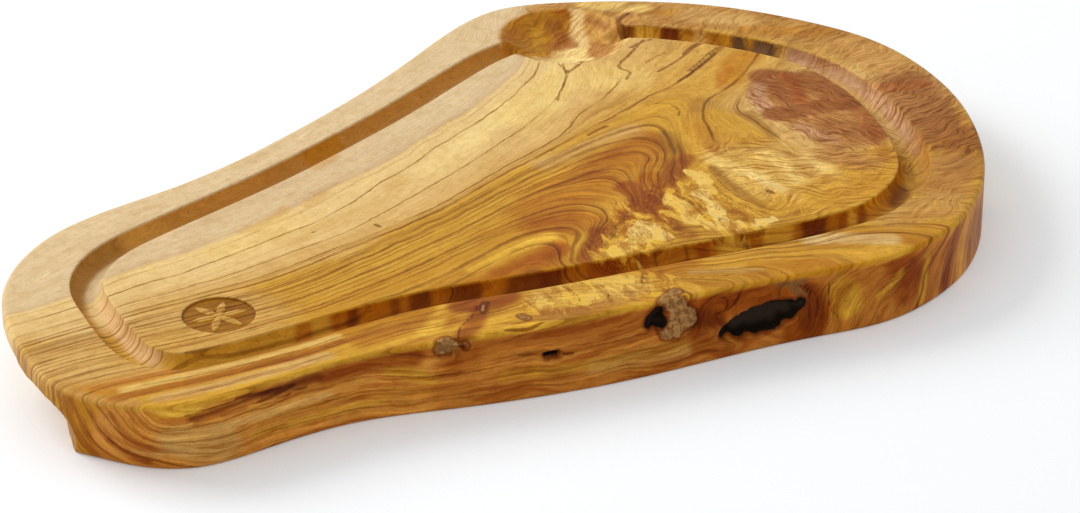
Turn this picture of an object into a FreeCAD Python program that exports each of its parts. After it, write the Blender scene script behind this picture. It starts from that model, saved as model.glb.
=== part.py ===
import FreeCAD
import Part

import math
import os

# A carving board sawn from one slab of olive wood, with the tree's own curves left in its outline.
# Millimetres. X runs along the board to its wide end, Y to the back, Z up from the underside.
# The origin is under the middle of the board, at the centre of its overall length and width.

# The slab
board_length = 466.0
board_width = 301.0
board_thickness = 31.0
top_edge_round = 3.0
bottom_edge_round = 1.5

# The juice groove, cut with a round-nosed cutter
groove_width = 14.0
groove_depth = 7.0

# The dished well that the groove drains into, at the back of the wide end
well_width = 58.0
well_depth = 9.5
well_station = 12  # the station, counted from 0, that it lies just past
well_along = 0.7  # how far on to the next station

# The finger cove under the narrow end, swung round the end with a cove cutter
cove_radius = 23.0
cove_reach = 13.2  # how far it reaches in under the end
cove_swing = 300.0  # radius of the cutter's path
cove_pivot_from_front = 36.0
cove_sweep = (140.0, 200.0)  # the path's start and end, degrees about the pivot

# The round recess near the narrow end, with a six-petal rosette left standing in it
recess_width = 30.0
recess_depth = 1.0
recess_from_end = 84.0
recess_from_front = 74.0
rosette_width = 25.0
rosette_petals = 6
rosette_hub = 3.0
rosette_height = 0.6

# Stations round the edge, clockwise from the narrow end: x, y, the distance in from the edge to the
# middle of the groove, and how far the underside's edge stands outside the top one there. They are
# drawn at the slab's own size. No rim means that the groove cuts that corner.
stations = [
    (-232.5, -76.0, 40.0, 0.0),
    (-230.5, -46.0, 38.5, 0.0),
    (-222.5, -17.5, 35.0, 0.0),
    (-208.5, 3.5, 32.5, 0.0),
    (-187.5, 21.0, 31.0, 0.0),
    (-158.5, 32.5, 28.5, 0.0),
    (-125.0, 41.0, 24.5, 0.0),
    (-92.0, 53.0, 23.5, 0.0),
    (-56.0, 70.5, 24.0, 0.0),
    (-17.5, 92.0, 25.5, 0.0),
    (20.0, 117.0, 28.0, 0.0),
    (50.0, 138.0, 34.5, 0.0),
    (80.5, 150.5, 41.0, 0.0),
    (111.5, 145.0, 38.5, 0.0),
    (146.0, 130.5, 36.0, 0.0),
    (178.5, 109.0, 37.5, 0.0),
    (206.5, 78.5, 37.5, 0.0),
    (225.5, 47.0, 39.0, 0.0),
    (233.0, 10.0, 39.0, 0.0),
    (230.5, -28.5, 37.5, 0.0),
    (219.5, -65.5, 34.0, 0.0),
    (202.0, -99.0, 31.0, 0.0),
    (180.0, -124.5, 33.5, 0.0),
    (153.0, -142.5, 37.0, -0.5),
    (125.0, -149.5, 38.5, 1.0),
    (89.0, -148.5, 37.0, 1.0),
    (49.0, -145.5, 36.0, 3.5),
    (8.5, -143.5, 36.5, 6.0),
    (-31.5, -141.5, 37.5, 5.0),
    (-71.5, -137.5, 37.5, 2.5),
    (-111.0, -134.0, 31.0, -0.5),
    (-151.5, -137.5, 30.0, -0.5),
    (-184.0, -141.0, 37.0, -2.0),
    (-206.0, -134.0, None, -5.5),
    (-223.0, -117.0, 41.0, -6.0),
    (-231.0, -99.0, None, -2.0),
]

# Hollows left by knots and old wood in the front wall: the middle's place along the length, its
# height as a part of the thickness, then length, height and depth, and the tilt in degrees,
# rising to the right
wall_hollows = {
    "rotten pocket": (65.0, 0.435, 38.0, 14.5, 9.0, 11.0),
    "slot": (-29.0, 0.565, 9.5, 4.0, 5.0, -8.0),
    "burl pit": (19.0, 0.775, 12.0, 7.0, 4.0, 60.0),
    "knot eye": (-68.5, 0.820, 5.0, 5.0, 4.0, 0.0),
}

egg_standoff = 0.35  # how far an egg's middle stands off the wall, as a part of its own depth
above = 5.0  # how far cutters stand out of the face that they cut
level = 0.01  # an edge whose height varies by less is level

half_length = board_length / 2
half_width = board_width / 2
drawn_x = [station[0] for station in stations]
drawn_y = [station[1] for station in stations]
length_scale = board_length / (max(drawn_x) - min(drawn_x))
width_scale = board_width / (max(drawn_y) - min(drawn_y))


def vector(x, y, z=0.0):
    return FreeCAD.Vector(x, y, z)


def closed_curve(points, parameters):
    """A smooth closed curve. Two curves with like parameters pair up point by point."""
    curve = Part.BSplineCurve()
    curve.interpolate(Points=points, PeriodicFlag=True, Parameters=parameters)
    return curve


def run_lengths(points):
    """The distance run from the first point to each point, and on round to the first again."""
    lengths = [0.0]
    for here, after in zip(points, points[1:] + points[:1]):
        lengths.append(lengths[-1] + here.distanceToPoint(after))
    return lengths


def inward(points, k):
    """The level direction into the board at point k of a clockwise outline."""
    tangent = points[(k + 1) % len(points)] - points[k - 1]
    return vector(tangent.y, -tangent.x).normalize()


top_points = [
    vector(x * length_scale, y * width_scale, board_thickness) for x, y, rim, foot in stations
]
foot_points = [
    point - inward(top_points, k) * stations[k][3] - vector(0, 0, board_thickness)
    for k, point in enumerate(top_points)
]
runs = run_lengths(top_points)
top_outline = closed_curve(top_points, runs)
foot_outline = closed_curve(foot_points, runs)

# The slab between its two outlines, with its edges eased
slab = Part.makeLoft(
    [Part.Wire(foot_outline.toShape()), Part.Wire(top_outline.toShape())], True, True
)
for height, radius in ((board_thickness, top_edge_round), (0.0, bottom_edge_round)):
    level_edges = [edge for edge in slab.Edges if edge.BoundBox.ZLength < level]
    edges = [edge for edge in level_edges if abs(edge.CenterOfMass.z - height) < level]
    slab = slab.makeFillet(radius, edges)

# The finger cove under the narrow end
pivot = vector(
    -half_length + cove_reach - cove_radius + cove_swing, -half_width + cove_pivot_from_front
)
cutter = Part.Face(Part.Wire(Part.makeCircle(cove_radius, vector(cove_swing, 0), vector(0, 1))))
cutter.rotate(vector(0, 0), vector(0, 0, 1), cove_sweep[0])
cutter.translate(pivot)
cove = cutter.revolve(pivot, vector(0, 0, 1), cove_sweep[1] - cove_sweep[0])
board = slab.cut(cove)

# The juice groove follows the outline, a rim's width inside it
groove_points = [
    point + inward(top_points, k) * stations[k][2]
    for k, point in enumerate(top_points)
    if stations[k][2] is not None
]
groove_runs = run_lengths(groove_points)
groove_path = closed_curve(groove_points, groove_runs)
start = groove_path.value(0.0)
heading = groove_path.tangent(0.0)[0]
across = vector(-heading.y, heading.x)
half_groove = groove_width / 2
left = start - across * half_groove
right = start + across * half_groove
bottom = start - vector(0, 0, groove_depth)
rise = vector(0, 0, above)
groove_section = Part.Wire(
    [
        Part.Arc(left, bottom, right).toShape(),
        Part.makeLine(right, right + rise),
        Part.makeLine(right + rise, left + rise),
        Part.makeLine(left + rise, left),
    ]
)
groove = Part.Wire(groove_path.toShape()).makePipeShell([groove_section], True, False)
board = board.cut(groove)

# The well
before, after = groove_runs[well_station : well_station + 2]
well_run = before + well_along * (after - before)
well_middle = groove_path.value(well_run)
well_radius = ((well_width / 2) ** 2 + well_depth**2) / (2 * well_depth)
well_centre = well_middle + vector(0, 0, well_radius - well_depth)
well = Part.makeSphere(well_radius, well_centre, vector(1, 0))
board = board.cut(well)

# The round recess and the rosette left standing in it
recess_middle = vector(
    -half_length + recess_from_end, -half_width + recess_from_front, board_thickness - recess_depth
)
recess = Part.makeCylinder(recess_width / 2, recess_depth + above, recess_middle)
board = board.cut(recess)


def petal(turn):
    """One leaf of the rosette, from its middle out, between two arcs of the rosette's own radius."""
    reach = rosette_width / 2
    belly = reach * (1 - math.cos(math.pi / 6))
    along = vector(math.cos(turn), math.sin(turn))
    aside = vector(-along.y, along.x)
    tip = recess_middle + along * reach
    waist = recess_middle + along * reach / 2
    outline = [
        Part.Arc(recess_middle, waist + aside * belly, tip).toShape(),
        Part.Arc(tip, waist - aside * belly, recess_middle).toShape(),
    ]
    return Part.Face(Part.Wire(outline)).extrude(vector(0, 0, rosette_height))


rosette = Part.makeCylinder(rosette_hub / 2, rosette_height, recess_middle)
for k in range(rosette_petals):
    rosette = rosette.fuse(petal(2 * math.pi * k / rosette_petals))
board = board.fuse(rosette.removeSplitter())


def wall_hollow(along, share, length, width, depth, tilt):
    """A dished hollow: the end of an egg whose middle stands off the front wall."""
    run = top_outline.parameter(vector(along, -half_width, board_thickness))
    place = top_outline.value(run) * share + foot_outline.value(run) * (1 - share)
    heading = top_outline.tangent(run)[0]
    out = vector(-heading.y, heading.x).normalize()
    egg_depth = depth / (1 - egg_standoff)
    spread = math.sqrt(1 - egg_standoff**2)
    egg = FreeCAD.Matrix()
    egg.scale(vector(length / 2 / spread, egg_depth, width / 2 / spread))
    hollow = Part.makeSphere(1.0).transformGeometry(egg)
    hollow.rotate(vector(0, 0), vector(0, 1), -tilt)
    hollow.rotate(vector(0, 0), vector(0, 0, 1), math.degrees(math.atan2(-heading.y, -heading.x)))
    hollow.translate(place + out * egg_depth * egg_standoff)
    return hollow


for sizes in wall_hollows.values():
    board = board.cut(wall_hollow(*sizes))

box = board.optimalBoundingBox()
board.translate(vector(-box.Center.x, -box.Center.y, -box.ZMin))

os.makedirs("parts", exist_ok=True)
board.exportStep("parts/serving_board.step")
print("serving_board:", len(board.Solids), "solid, valid", board.isValid())
print("volume", round(board.Volume), "mm3, overall", round(box.XLength, 2), round(box.YLength, 2))
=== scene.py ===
import math

import bpy
import numpy as np
from mathutils.geometry import delaunay_2d_cdt
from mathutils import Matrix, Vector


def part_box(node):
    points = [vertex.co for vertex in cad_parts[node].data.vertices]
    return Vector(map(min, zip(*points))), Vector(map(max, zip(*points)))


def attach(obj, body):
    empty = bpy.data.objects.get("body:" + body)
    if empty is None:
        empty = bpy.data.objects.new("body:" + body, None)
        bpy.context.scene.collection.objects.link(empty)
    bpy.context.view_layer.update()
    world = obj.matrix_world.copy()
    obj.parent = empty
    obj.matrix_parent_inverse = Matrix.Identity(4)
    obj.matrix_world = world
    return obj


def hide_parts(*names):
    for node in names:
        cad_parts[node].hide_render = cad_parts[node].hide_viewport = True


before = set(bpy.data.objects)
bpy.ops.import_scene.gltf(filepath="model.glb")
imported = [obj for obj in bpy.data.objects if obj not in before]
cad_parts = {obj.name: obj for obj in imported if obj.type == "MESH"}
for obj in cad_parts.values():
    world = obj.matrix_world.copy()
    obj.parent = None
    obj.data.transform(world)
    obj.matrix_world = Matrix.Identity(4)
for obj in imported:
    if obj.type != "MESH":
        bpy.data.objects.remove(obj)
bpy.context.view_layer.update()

# The slab. The board is one thick piece of olive wood, sawn round its outline to follow the tree and
# eased along its edges by sanding. Sizes here are millimetres; the finished mesh is in metres.
metres = 0.001
slab_low, slab_high = (np.array(corner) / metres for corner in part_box("serving_board"))
slab_top = slab_high[2]
slab_middle = (slab_low + slab_high) / 2
top_edge_round = 2.4
bottom_edge_round = 1.5
edge_step = 1.3  # between the mesh's columns round the edge
wall_step = 1.25  # between its rows down the wall
top_round_steps = 5
bottom_round_steps = 3

# Stations round the edge, clockwise from the narrow end: x, y, the distance in from the edge to the
# middle of the groove, and how far the underside's edge stands outside the top one there.
stations = [
    (-232.5, -76.0, 40.0, 0.0),
    (-230.5, -46.0, 38.5, 0.0),
    (-222.5, -17.5, 35.0, 0.0),
    (-208.5, 3.5, 32.5, 0.0),
    (-187.5, 21.0, 31.0, 0.0),
    (-158.5, 32.5, 28.5, 0.0),
    (-125.0, 41.0, 24.5, 0.0),
    (-92.0, 53.0, 23.5, 0.0),
    (-56.0, 70.5, 24.0, 0.0),
    (-17.5, 92.0, 25.5, 0.0),
    (20.0, 117.0, 28.0, 0.0),
    (50.0, 138.0, 34.5, 0.0),
    (80.5, 150.5, 41.0, 0.0),
    (111.5, 145.0, 38.5, 0.0),
    (146.0, 130.5, 36.0, 0.0),
    (178.5, 109.0, 37.5, 0.0),
    (206.5, 78.5, 37.5, 0.0),
    (225.5, 47.0, 39.0, 0.0),
    (233.0, 10.0, 39.0, 0.0),
    (230.5, -28.5, 37.5, 0.0),
    (219.5, -65.5, 34.0, 0.0),
    (202.0, -99.0, 31.0, 0.0),
    (180.0, -124.5, 33.5, 0.0),
    (153.0, -142.5, 37.0, -0.5),
    (125.0, -149.5, 38.5, 1.0),
    (89.0, -148.5, 37.0, 1.0),
    (49.0, -145.5, 36.0, 3.5),
    (8.5, -143.5, 36.5, 6.0),
    (-31.5, -141.5, 37.5, 5.0),
    (-71.5, -137.5, 37.5, 2.5),
    (-111.0, -134.0, 31.0, -0.5),
    (-151.5, -137.5, 30.0, -0.5),
    (-184.0, -141.0, 37.0, -2.0),
    (-206.0, -134.0, None, -5.5),
    (-223.0, -117.0, 41.0, -6.0),
    (-231.0, -99.0, None, -2.0),
]


def run_lengths(points):
    """The distance run from the first point to each point, and on round to the first again."""
    steps = np.linalg.norm(np.roll(points, -1, axis=0) - points, axis=1)
    return np.concatenate([[0.0], np.cumsum(steps)])


def closed_curve(points, runs):
    """The smooth closed curve through the points: a function from the run to place and heading."""
    count = len(points)
    spans = np.diff(runs)
    slopes = (np.roll(points, -1, axis=0) - points) / spans[:, None]
    system = np.zeros((count, count))
    for k in range(count):
        system[k, k - 1] += spans[k - 1]
        system[k, k] += 2 * (spans[k - 1] + spans[k])
        system[k, (k + 1) % count] += spans[k]
    bends = np.linalg.solve(system, 6 * (slopes - np.roll(slopes, 1, axis=0)))

    def at(run):
        run = np.mod(run, runs[-1])
        k = np.clip(np.searchsorted(runs, run, side="right") - 1, 0, count - 1)
        after = (k + 1) % count
        h = spans[k][:, None]
        s = (run - runs[k])[:, None]
        r = h - s
        place = (
            bends[k] * r**3 / (6 * h)
            + bends[after] * s**3 / (6 * h)
            + (points[k] / h - bends[k] * h / 6) * r
            + (points[after] / h - bends[after] * h / 6) * s
        )
        heading = (
            -bends[k] * r**2 / (2 * h)
            + bends[after] * s**2 / (2 * h)
            + slopes[k]
            + (bends[k] - bends[after]) * h / 6
        )
        return place, heading / np.linalg.norm(heading, axis=1)[:, None]

    return at


def inward(heading):
    """Level, square to the heading, into a clockwise outline."""
    return np.stack([heading[:, 1], -heading[:, 0]], axis=1)


drawn = np.array([station[:2] for station in stations])
station_in = inward(np.roll(drawn, -1, axis=0) - np.roll(drawn, 1, axis=0))
station_in /= np.linalg.norm(station_in, axis=1)[:, None]
foot_spread = np.array([station[3] for station in stations])
edge_runs = run_lengths(drawn)
top_curve = closed_curve(drawn, edge_runs)
foot_curve = closed_curve(drawn - station_in * foot_spread[:, None], edge_runs)

columns = int(edge_runs[-1] / edge_step)
column_runs = np.arange(columns) * edge_runs[-1] / columns
top_edge, edge_heading = top_curve(column_runs)
foot_edge, _ = foot_curve(column_runs)
edge_in = inward(edge_heading)
both_edges = np.concatenate([top_edge, foot_edge])
to_frame = slab_middle[:2] - (both_edges.min(axis=0) + both_edges.max(axis=0)) / 2
top_edge = top_edge + to_frame
foot_edge = foot_edge + to_frame


def edge_row(inset, height):
    """The ring of wall points at this height, this far in from the wall's own line."""
    share = height / slab_top
    level = top_edge * share + foot_edge * (1 - share) + edge_in * inset
    return np.column_stack([level, np.full(columns, height)])


wall_rows = []
for k in range(top_round_steps + 1):
    turn = math.pi / 2 * k / top_round_steps
    drop = top_edge_round * (1 - math.cos(turn))
    wall_rows.append(edge_row(top_edge_round * (1 - math.sin(turn)), slab_top - drop))
wall_top = slab_top - top_edge_round
wall_count = int((wall_top - bottom_edge_round) / wall_step)
for k in range(1, wall_count):
    wall_rows.append(edge_row(0.0, wall_top - (wall_top - bottom_edge_round) * k / wall_count))
for k in range(bottom_round_steps + 1):
    turn = math.pi / 2 * k / bottom_round_steps
    inset = bottom_edge_round * (1 - math.cos(turn))
    wall_rows.append(edge_row(inset, bottom_edge_round * (1 - math.sin(turn))))
wall = np.array(wall_rows)

# The finger cove is a long scoop under the narrow end, cut with a cove cutter swung round the end, so
# that fingers get under the board to lift it.
cove_radius = 23.0
cove_reach = 13.2  # how far it reaches in under the end
cove_swing = 300.0  # radius of the cutter's path
cove_pivot_from_front = 36.9
cove_sweep = (140, 200)  # the path's start and end, degrees about the pivot
run_out_from = 172  # the bearing, in degrees, past which the cutter runs out and up
run_out_slope = 0.55  # mm for each degree
cove_lift = 3.75
lift_over = 6.0  # degrees
lifted_radius = 24.8

pivot_along = slab_low[0] + cove_reach - cove_radius + cove_swing
cove_pivot = np.array([pivot_along, slab_low[1] + cove_pivot_from_front])
from_pivot = wall[..., :2] - cove_pivot
swing = np.linalg.norm(from_pivot, axis=-1)
bearing = np.degrees(np.arctan2(from_pivot[..., 1], from_pivot[..., 0])) % 360
past = np.clip(bearing - run_out_from, 0, None)
lifted = np.clip(past / lift_over, 0, 1)
cutter_radius = cove_radius + (lifted_radius - cove_radius) * lifted
above_path = wall[..., 2] - cove_lift * lifted
cove_half = np.sqrt(np.clip(cutter_radius**2 - above_path**2, 0, None))
cove_face = cove_swing + run_out_slope * past + cutter_radius - cove_radius - cove_half
in_sweep = (bearing > cove_sweep[0]) & (bearing < cove_sweep[1])
in_cove = in_sweep & (swing > cove_face) & (cove_half > 0)
shortened = np.where(in_cove, cove_face / swing, 1.0)
wall[..., :2] = cove_pivot + from_pivot * shortened[..., None]

# The juice groove is routed round the top with a round-nosed cutter, a rim's width inside the edge,
# and its corners are sanded soft. It drains into a dished well at the back of the wide end.
groove_radius = 7.0
groove_softness = 0.45
groove_step = 1.45  # between the mesh's columns along it
groove_offsets = [0.0, 1.7, 3.3, 4.7, 5.8, 6.5, 6.88, 7.05, 7.4, 8.1, 9.2]  # of its rows, to each side
groove_reach = groove_offsets[-1]
well_radius = 29.0
well_depth = 9.5
well_station = 12  # the station, counted from 0, that it lies just past
well_along = 0.7  # how far on to the next station
well_softness = 0.6
fall_off = 2.5  # how fast the depth falls below zero beside the groove
well_beside = -9.0  # the depth beside the well

in_groove = [k for k, station in enumerate(stations) if station[2] is not None]
rim_width = np.array([stations[k][2] for k in in_groove])
groove_points = drawn[in_groove] + station_in[in_groove] * rim_width[:, None]
groove_runs = run_lengths(groove_points)
groove_curve = closed_curve(groove_points, groove_runs)
groove_columns = int(groove_runs[-1] / groove_step)
groove_line, groove_heading = groove_curve(
    np.arange(groove_columns) * groove_runs[-1] / groove_columns
)
groove_line = groove_line + to_frame
groove_in = inward(groove_heading)
well_run = groove_runs[well_station] * (1 - well_along) + groove_runs[well_station + 1] * well_along
well_middle = groove_curve(np.array([well_run]))[0][0] + to_frame
well_ball = (well_radius**2 + well_depth**2) / (2 * well_depth)


def nearest(points, line, chunk=4000):
    """How far each point is from the nearest of the line's points, and which one that is."""
    gaps = np.empty(len(points))
    which = np.empty(len(points), dtype=int)
    for start in range(0, len(points), chunk):
        apart = points[start : start + chunk, None, :] - line[None, :, :]
        squares = np.einsum("ijk,ijk->ij", apart, apart)
        which[start : start + chunk] = squares.argmin(axis=1)
        gaps[start : start + chunk] = np.sqrt(squares.min(axis=1))
    return gaps, which


def soft_cut(depth, softness):
    """A cut's depth with its lip sanded round: depth is below zero outside the cut."""
    return (depth + np.sqrt(depth**2 + softness**2)) / 2


def groove_depth(apart):
    inside = np.sqrt(np.clip(groove_radius**2 - apart**2, 0, None))
    beside = (groove_radius - apart) * fall_off
    return soft_cut(np.where(apart < groove_radius, inside, beside), groove_softness)


def from_well(points):
    return np.linalg.norm(points - well_middle, axis=1)


def well_cut(points):
    apart = from_well(points)
    ball = np.sqrt(np.clip(well_ball**2 - apart**2, 0, None)) - (well_ball - well_depth)
    return soft_cut(np.where(apart < well_ball, ball, well_beside), well_softness)


# The round recess near the narrow end is a shallow turned pocket with a six-petal rosette left
# standing in it, all of it the board's own wood.
recess_radius = 15.0
recess_depth = 1.0
recess_from_end = 83.8
recess_from_front = 75.0
recess_middle = np.array([slab_low[0] + recess_from_end, slab_low[1] + recess_from_front])
recess_wall_out = 0.1  # the middle of the recess's sloping wall, outside its radius
recess_wall_half = 0.3
petal_reach = 12.5
petal_count = 6
petal_height = 0.6
petal_softness = 0.35
hub_radius = 1.5


def petal_inside(points):
    """How far inside the rosette's outline each point is, in mm, and below zero outside it."""
    offset = points - recess_middle
    best = hub_radius - np.linalg.norm(offset, axis=1)
    for k in range(petal_count):
        turn = 2 * math.pi * k / petal_count
        tip = petal_reach * np.array([math.cos(turn), math.sin(turn)])
        aside = np.array([-tip[1], tip[0]]) * math.sqrt(3) / 2
        left = petal_reach - np.linalg.norm(offset - (tip / 2 + aside), axis=1)
        right = petal_reach - np.linalg.norm(offset - (tip / 2 - aside), axis=1)
        best = np.maximum(best, np.minimum(left, right))
    return best


def smooth_step(value, start, end):
    t = np.clip((value - start) / (end - start), 0, 1)
    return t * t * (3 - 2 * t)


def from_recess(points):
    return np.linalg.norm(points - recess_middle, axis=1)


def recess_cut(points):
    apart = from_recess(points)
    inside = recess_radius + recess_wall_out - apart
    floor = smooth_step(inside, -recess_wall_half, recess_wall_half) * recess_depth
    standing = smooth_step(petal_inside(points), -petal_softness, petal_softness) * petal_height
    return floor - standing * (apart < recess_radius)


# The top face is a net of small triangles: rows along the groove and round the recess where it turns
# sharply, and an even net between them.
net_pitch = 1.5
recess_pitch = 0.55
stand_off = 0.9  # the least gap between the net's points and the rows
well_margin = 1.5
recess_row_radii = [14.75, 14.92, 15.08, 15.25, 15.6]
recess_net_radius = 14.6
recess_columns = 160
well_row_radii = [27.8, 28.5, 29.1, 29.8, 30.6]
well_columns = 150
row_gap = 0.3  # the least gap between the well's rows and the groove's
inside_only = 1  # keeps only the triangles inside the outline
same_point = 1e-6
skim = 0.02  # what the sanded lips add to the cuts far from them, taken off again


def ring(middle, radius, count):
    """Points on a circle."""
    turns = np.linspace(0, 2 * math.pi, count, endpoint=False)
    return middle + np.column_stack([np.cos(turns), np.sin(turns)]) * radius


def even_net(low, high, pitch):
    """Points in staggered rows over a rectangle."""
    across = np.arange(low[0], high[0], pitch)
    rows = []
    for k, y in enumerate(np.arange(low[1], high[1], pitch * math.sqrt(3) / 2)):
        rows.append(np.column_stack([across + (k % 2) * pitch / 2, np.full(len(across), y)]))
    return np.concatenate(rows)


def inset_from(points, loop):
    """How far in each point is from a loop with the wall's columns."""
    _, at = nearest(points, loop)
    return np.einsum("ij,ij->i", points - loop[at], edge_in[at])


def triangulated(flat):
    """Joins level points into triangles. The first of them are the outline, a point a column."""
    places = [tuple(point) for point in flat]
    outline = list(range(columns))
    places, _, triangles, *_ = delaunay_2d_cdt(places, [], [outline], inside_only, same_point)
    return np.array(places), triangles


groove_rows = [groove_line]
for offset in groove_offsets[1:]:
    groove_rows += [groove_line + groove_in * offset, groove_line + groove_in * -offset]
groove_row_points = np.concatenate(groove_rows)
groove_row_points = groove_row_points[from_well(groove_row_points) > well_radius + well_margin]
recess_rows = [ring(recess_middle, radius, recess_columns) for radius in recess_row_radii]
well_rows = []
for radius in well_row_radii:
    row = ring(well_middle, radius, well_columns)
    well_rows.append(row[nearest(row, groove_line)[0] > groove_reach + row_gap])

net = even_net(slab_low, slab_high, net_pitch)
net_groove = nearest(net, groove_line)[0]
net_well = from_well(net)
keep = inset_from(net, top_edge) > top_edge_round + stand_off
keep &= from_recess(net) > recess_row_radii[-1] + stand_off
keep &= (net_groove > groove_reach + stand_off) | (net_well < well_radius + well_margin)
off_well_rows = (net_well < well_row_radii[0] - stand_off) | (net_well > well_row_radii[-1] + stand_off)
keep &= off_well_rows | (net_groove < groove_reach)
recess_net = even_net(recess_middle - recess_radius, recess_middle + recess_radius, recess_pitch)
recess_net = recess_net[from_recess(recess_net) < recess_net_radius]

top_parts = [wall[0, :, :2], groove_row_points, net[keep], recess_net] + recess_rows + well_rows
top_flat, top_faces = triangulated(np.concatenate(top_parts))
cut = np.maximum(groove_depth(nearest(top_flat, groove_line)[0]), well_cut(top_flat))
cut = np.maximum(cut - skim, 0) + recess_cut(top_flat)
cut[:columns] = 0.0
top_points = np.column_stack([top_flat, slab_top - cut])

# The underside is flat and plain, and only sanded, because the board lies on it.
underside_pitch = 6.0
underside_margin = 2.5

foot_loop = wall[-1, :, :2]
under_net = even_net(slab_low, slab_high, underside_pitch)
under_net = under_net[inset_from(under_net, foot_loop) > underside_margin]
under_flat, under_faces = triangulated(np.concatenate([foot_loop, under_net]))
under_points = np.column_stack([under_flat, np.zeros(len(under_flat))])

# Knots and old wood left hollows in the front wall: each is an egg's end sunk in the wall, given by its
# place along the length, its height, then length, height and depth, and its tilt, rising to the right.
wall_hollows = {
    "rotten pocket": (65.0, 0.435, 38.0, 14.5, 9.0, 11.0),
    "slot": (-29.0, 0.565, 9.5, 4.0, 5.0, -8.0),
    "burl pit": (19.0, 0.775, 12.0, 7.0, 4.0, 60.0),
    "knot eye": (-68.5, 0.820, 5.0, 5.0, 4.0, 0.0),
}
egg_standoff = 0.35  # how far an egg's middle stands off the wall, as a part of its own depth
front_zone = 60.0  # how far back the front wall reaches


def front_column(x):
    """The column of the front wall at this place along the length."""
    front = np.where(top_edge[:, 1] < slab_low[1] + front_zone, np.abs(top_edge[:, 0] - x), np.inf)
    return int(front.argmin())


def on_front(x, height):
    """A place on the front wall."""
    column = front_column(x)
    share = height / slab_top
    level = top_edge[column] * share + foot_edge[column] * (1 - share)
    return np.array([x, level[1], height])


for along, share, length, height, depth, tilt in wall_hollows.values():
    column = front_column(along + to_frame[0])
    place = on_front(along + to_frame[0], share * slab_top)
    egg_depth = depth / (1 - egg_standoff)
    spread = math.sqrt(1 - egg_standoff**2)
    lean = math.radians(tilt)
    along_wall = -edge_heading[column]
    offset = wall - place
    run = offset[..., 0] * along_wall[0] + offset[..., 1] * along_wall[1]
    deep = offset[..., 0] * edge_in[column, 0] + offset[..., 1] * edge_in[column, 1]
    u = (run * math.cos(lean) + offset[..., 2] * math.sin(lean)) / (length / 2 / spread)
    v = (-run * math.sin(lean) + offset[..., 2] * math.cos(lean)) / (height / 2 / spread)
    sunk = np.sqrt(np.clip(1 - u * u - v * v, 0, None)) * egg_depth - egg_depth * egg_standoff
    near = deep < depth * 2  # not the wall at the back
    push = np.where(near & (u * u + v * v < 1), np.clip(sunk - deep, 0, None), 0.0)
    wall[..., :2] += push[..., None] * edge_in[column]

# All of the slab in one closed skin.
wall_points = wall[1:-1].reshape(-1, 3)
points = np.concatenate([top_points, wall_points, under_points])
first_wall = len(top_points)
first_under = first_wall + len(wall_points)
rows_between = len(wall) - 2


def row_index(row):
    """The skin's point numbers along one row of the wall."""
    if row == 0:
        return np.arange(columns)
    if row == rows_between + 1:
        return first_under + np.arange(columns)
    return first_wall + (row - 1) * columns + np.arange(columns)


faces = [tuple(face) for face in top_faces]
for row in range(rows_between + 1):
    above = row_index(row)
    below = row_index(row + 1)
    faces += list(zip(above, np.roll(above, -1), np.roll(below, -1), below))
faces += [tuple(first_under + k for k in reversed(face)) for face in under_faces]

skin = bpy.data.meshes.new("board")
skin.from_pydata((points * metres).tolist(), [], [list(map(int, face)) for face in faces])
skin.validate()
skin.update()
skin.shade_smooth()
board = bpy.data.objects.new("board", skin)
bpy.context.collection.objects.link(board)

normals = np.empty(len(skin.vertices) * 3)
skin.vertices.foreach_get("normal", normals)
normals = normals.reshape(-1, 3)

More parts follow.
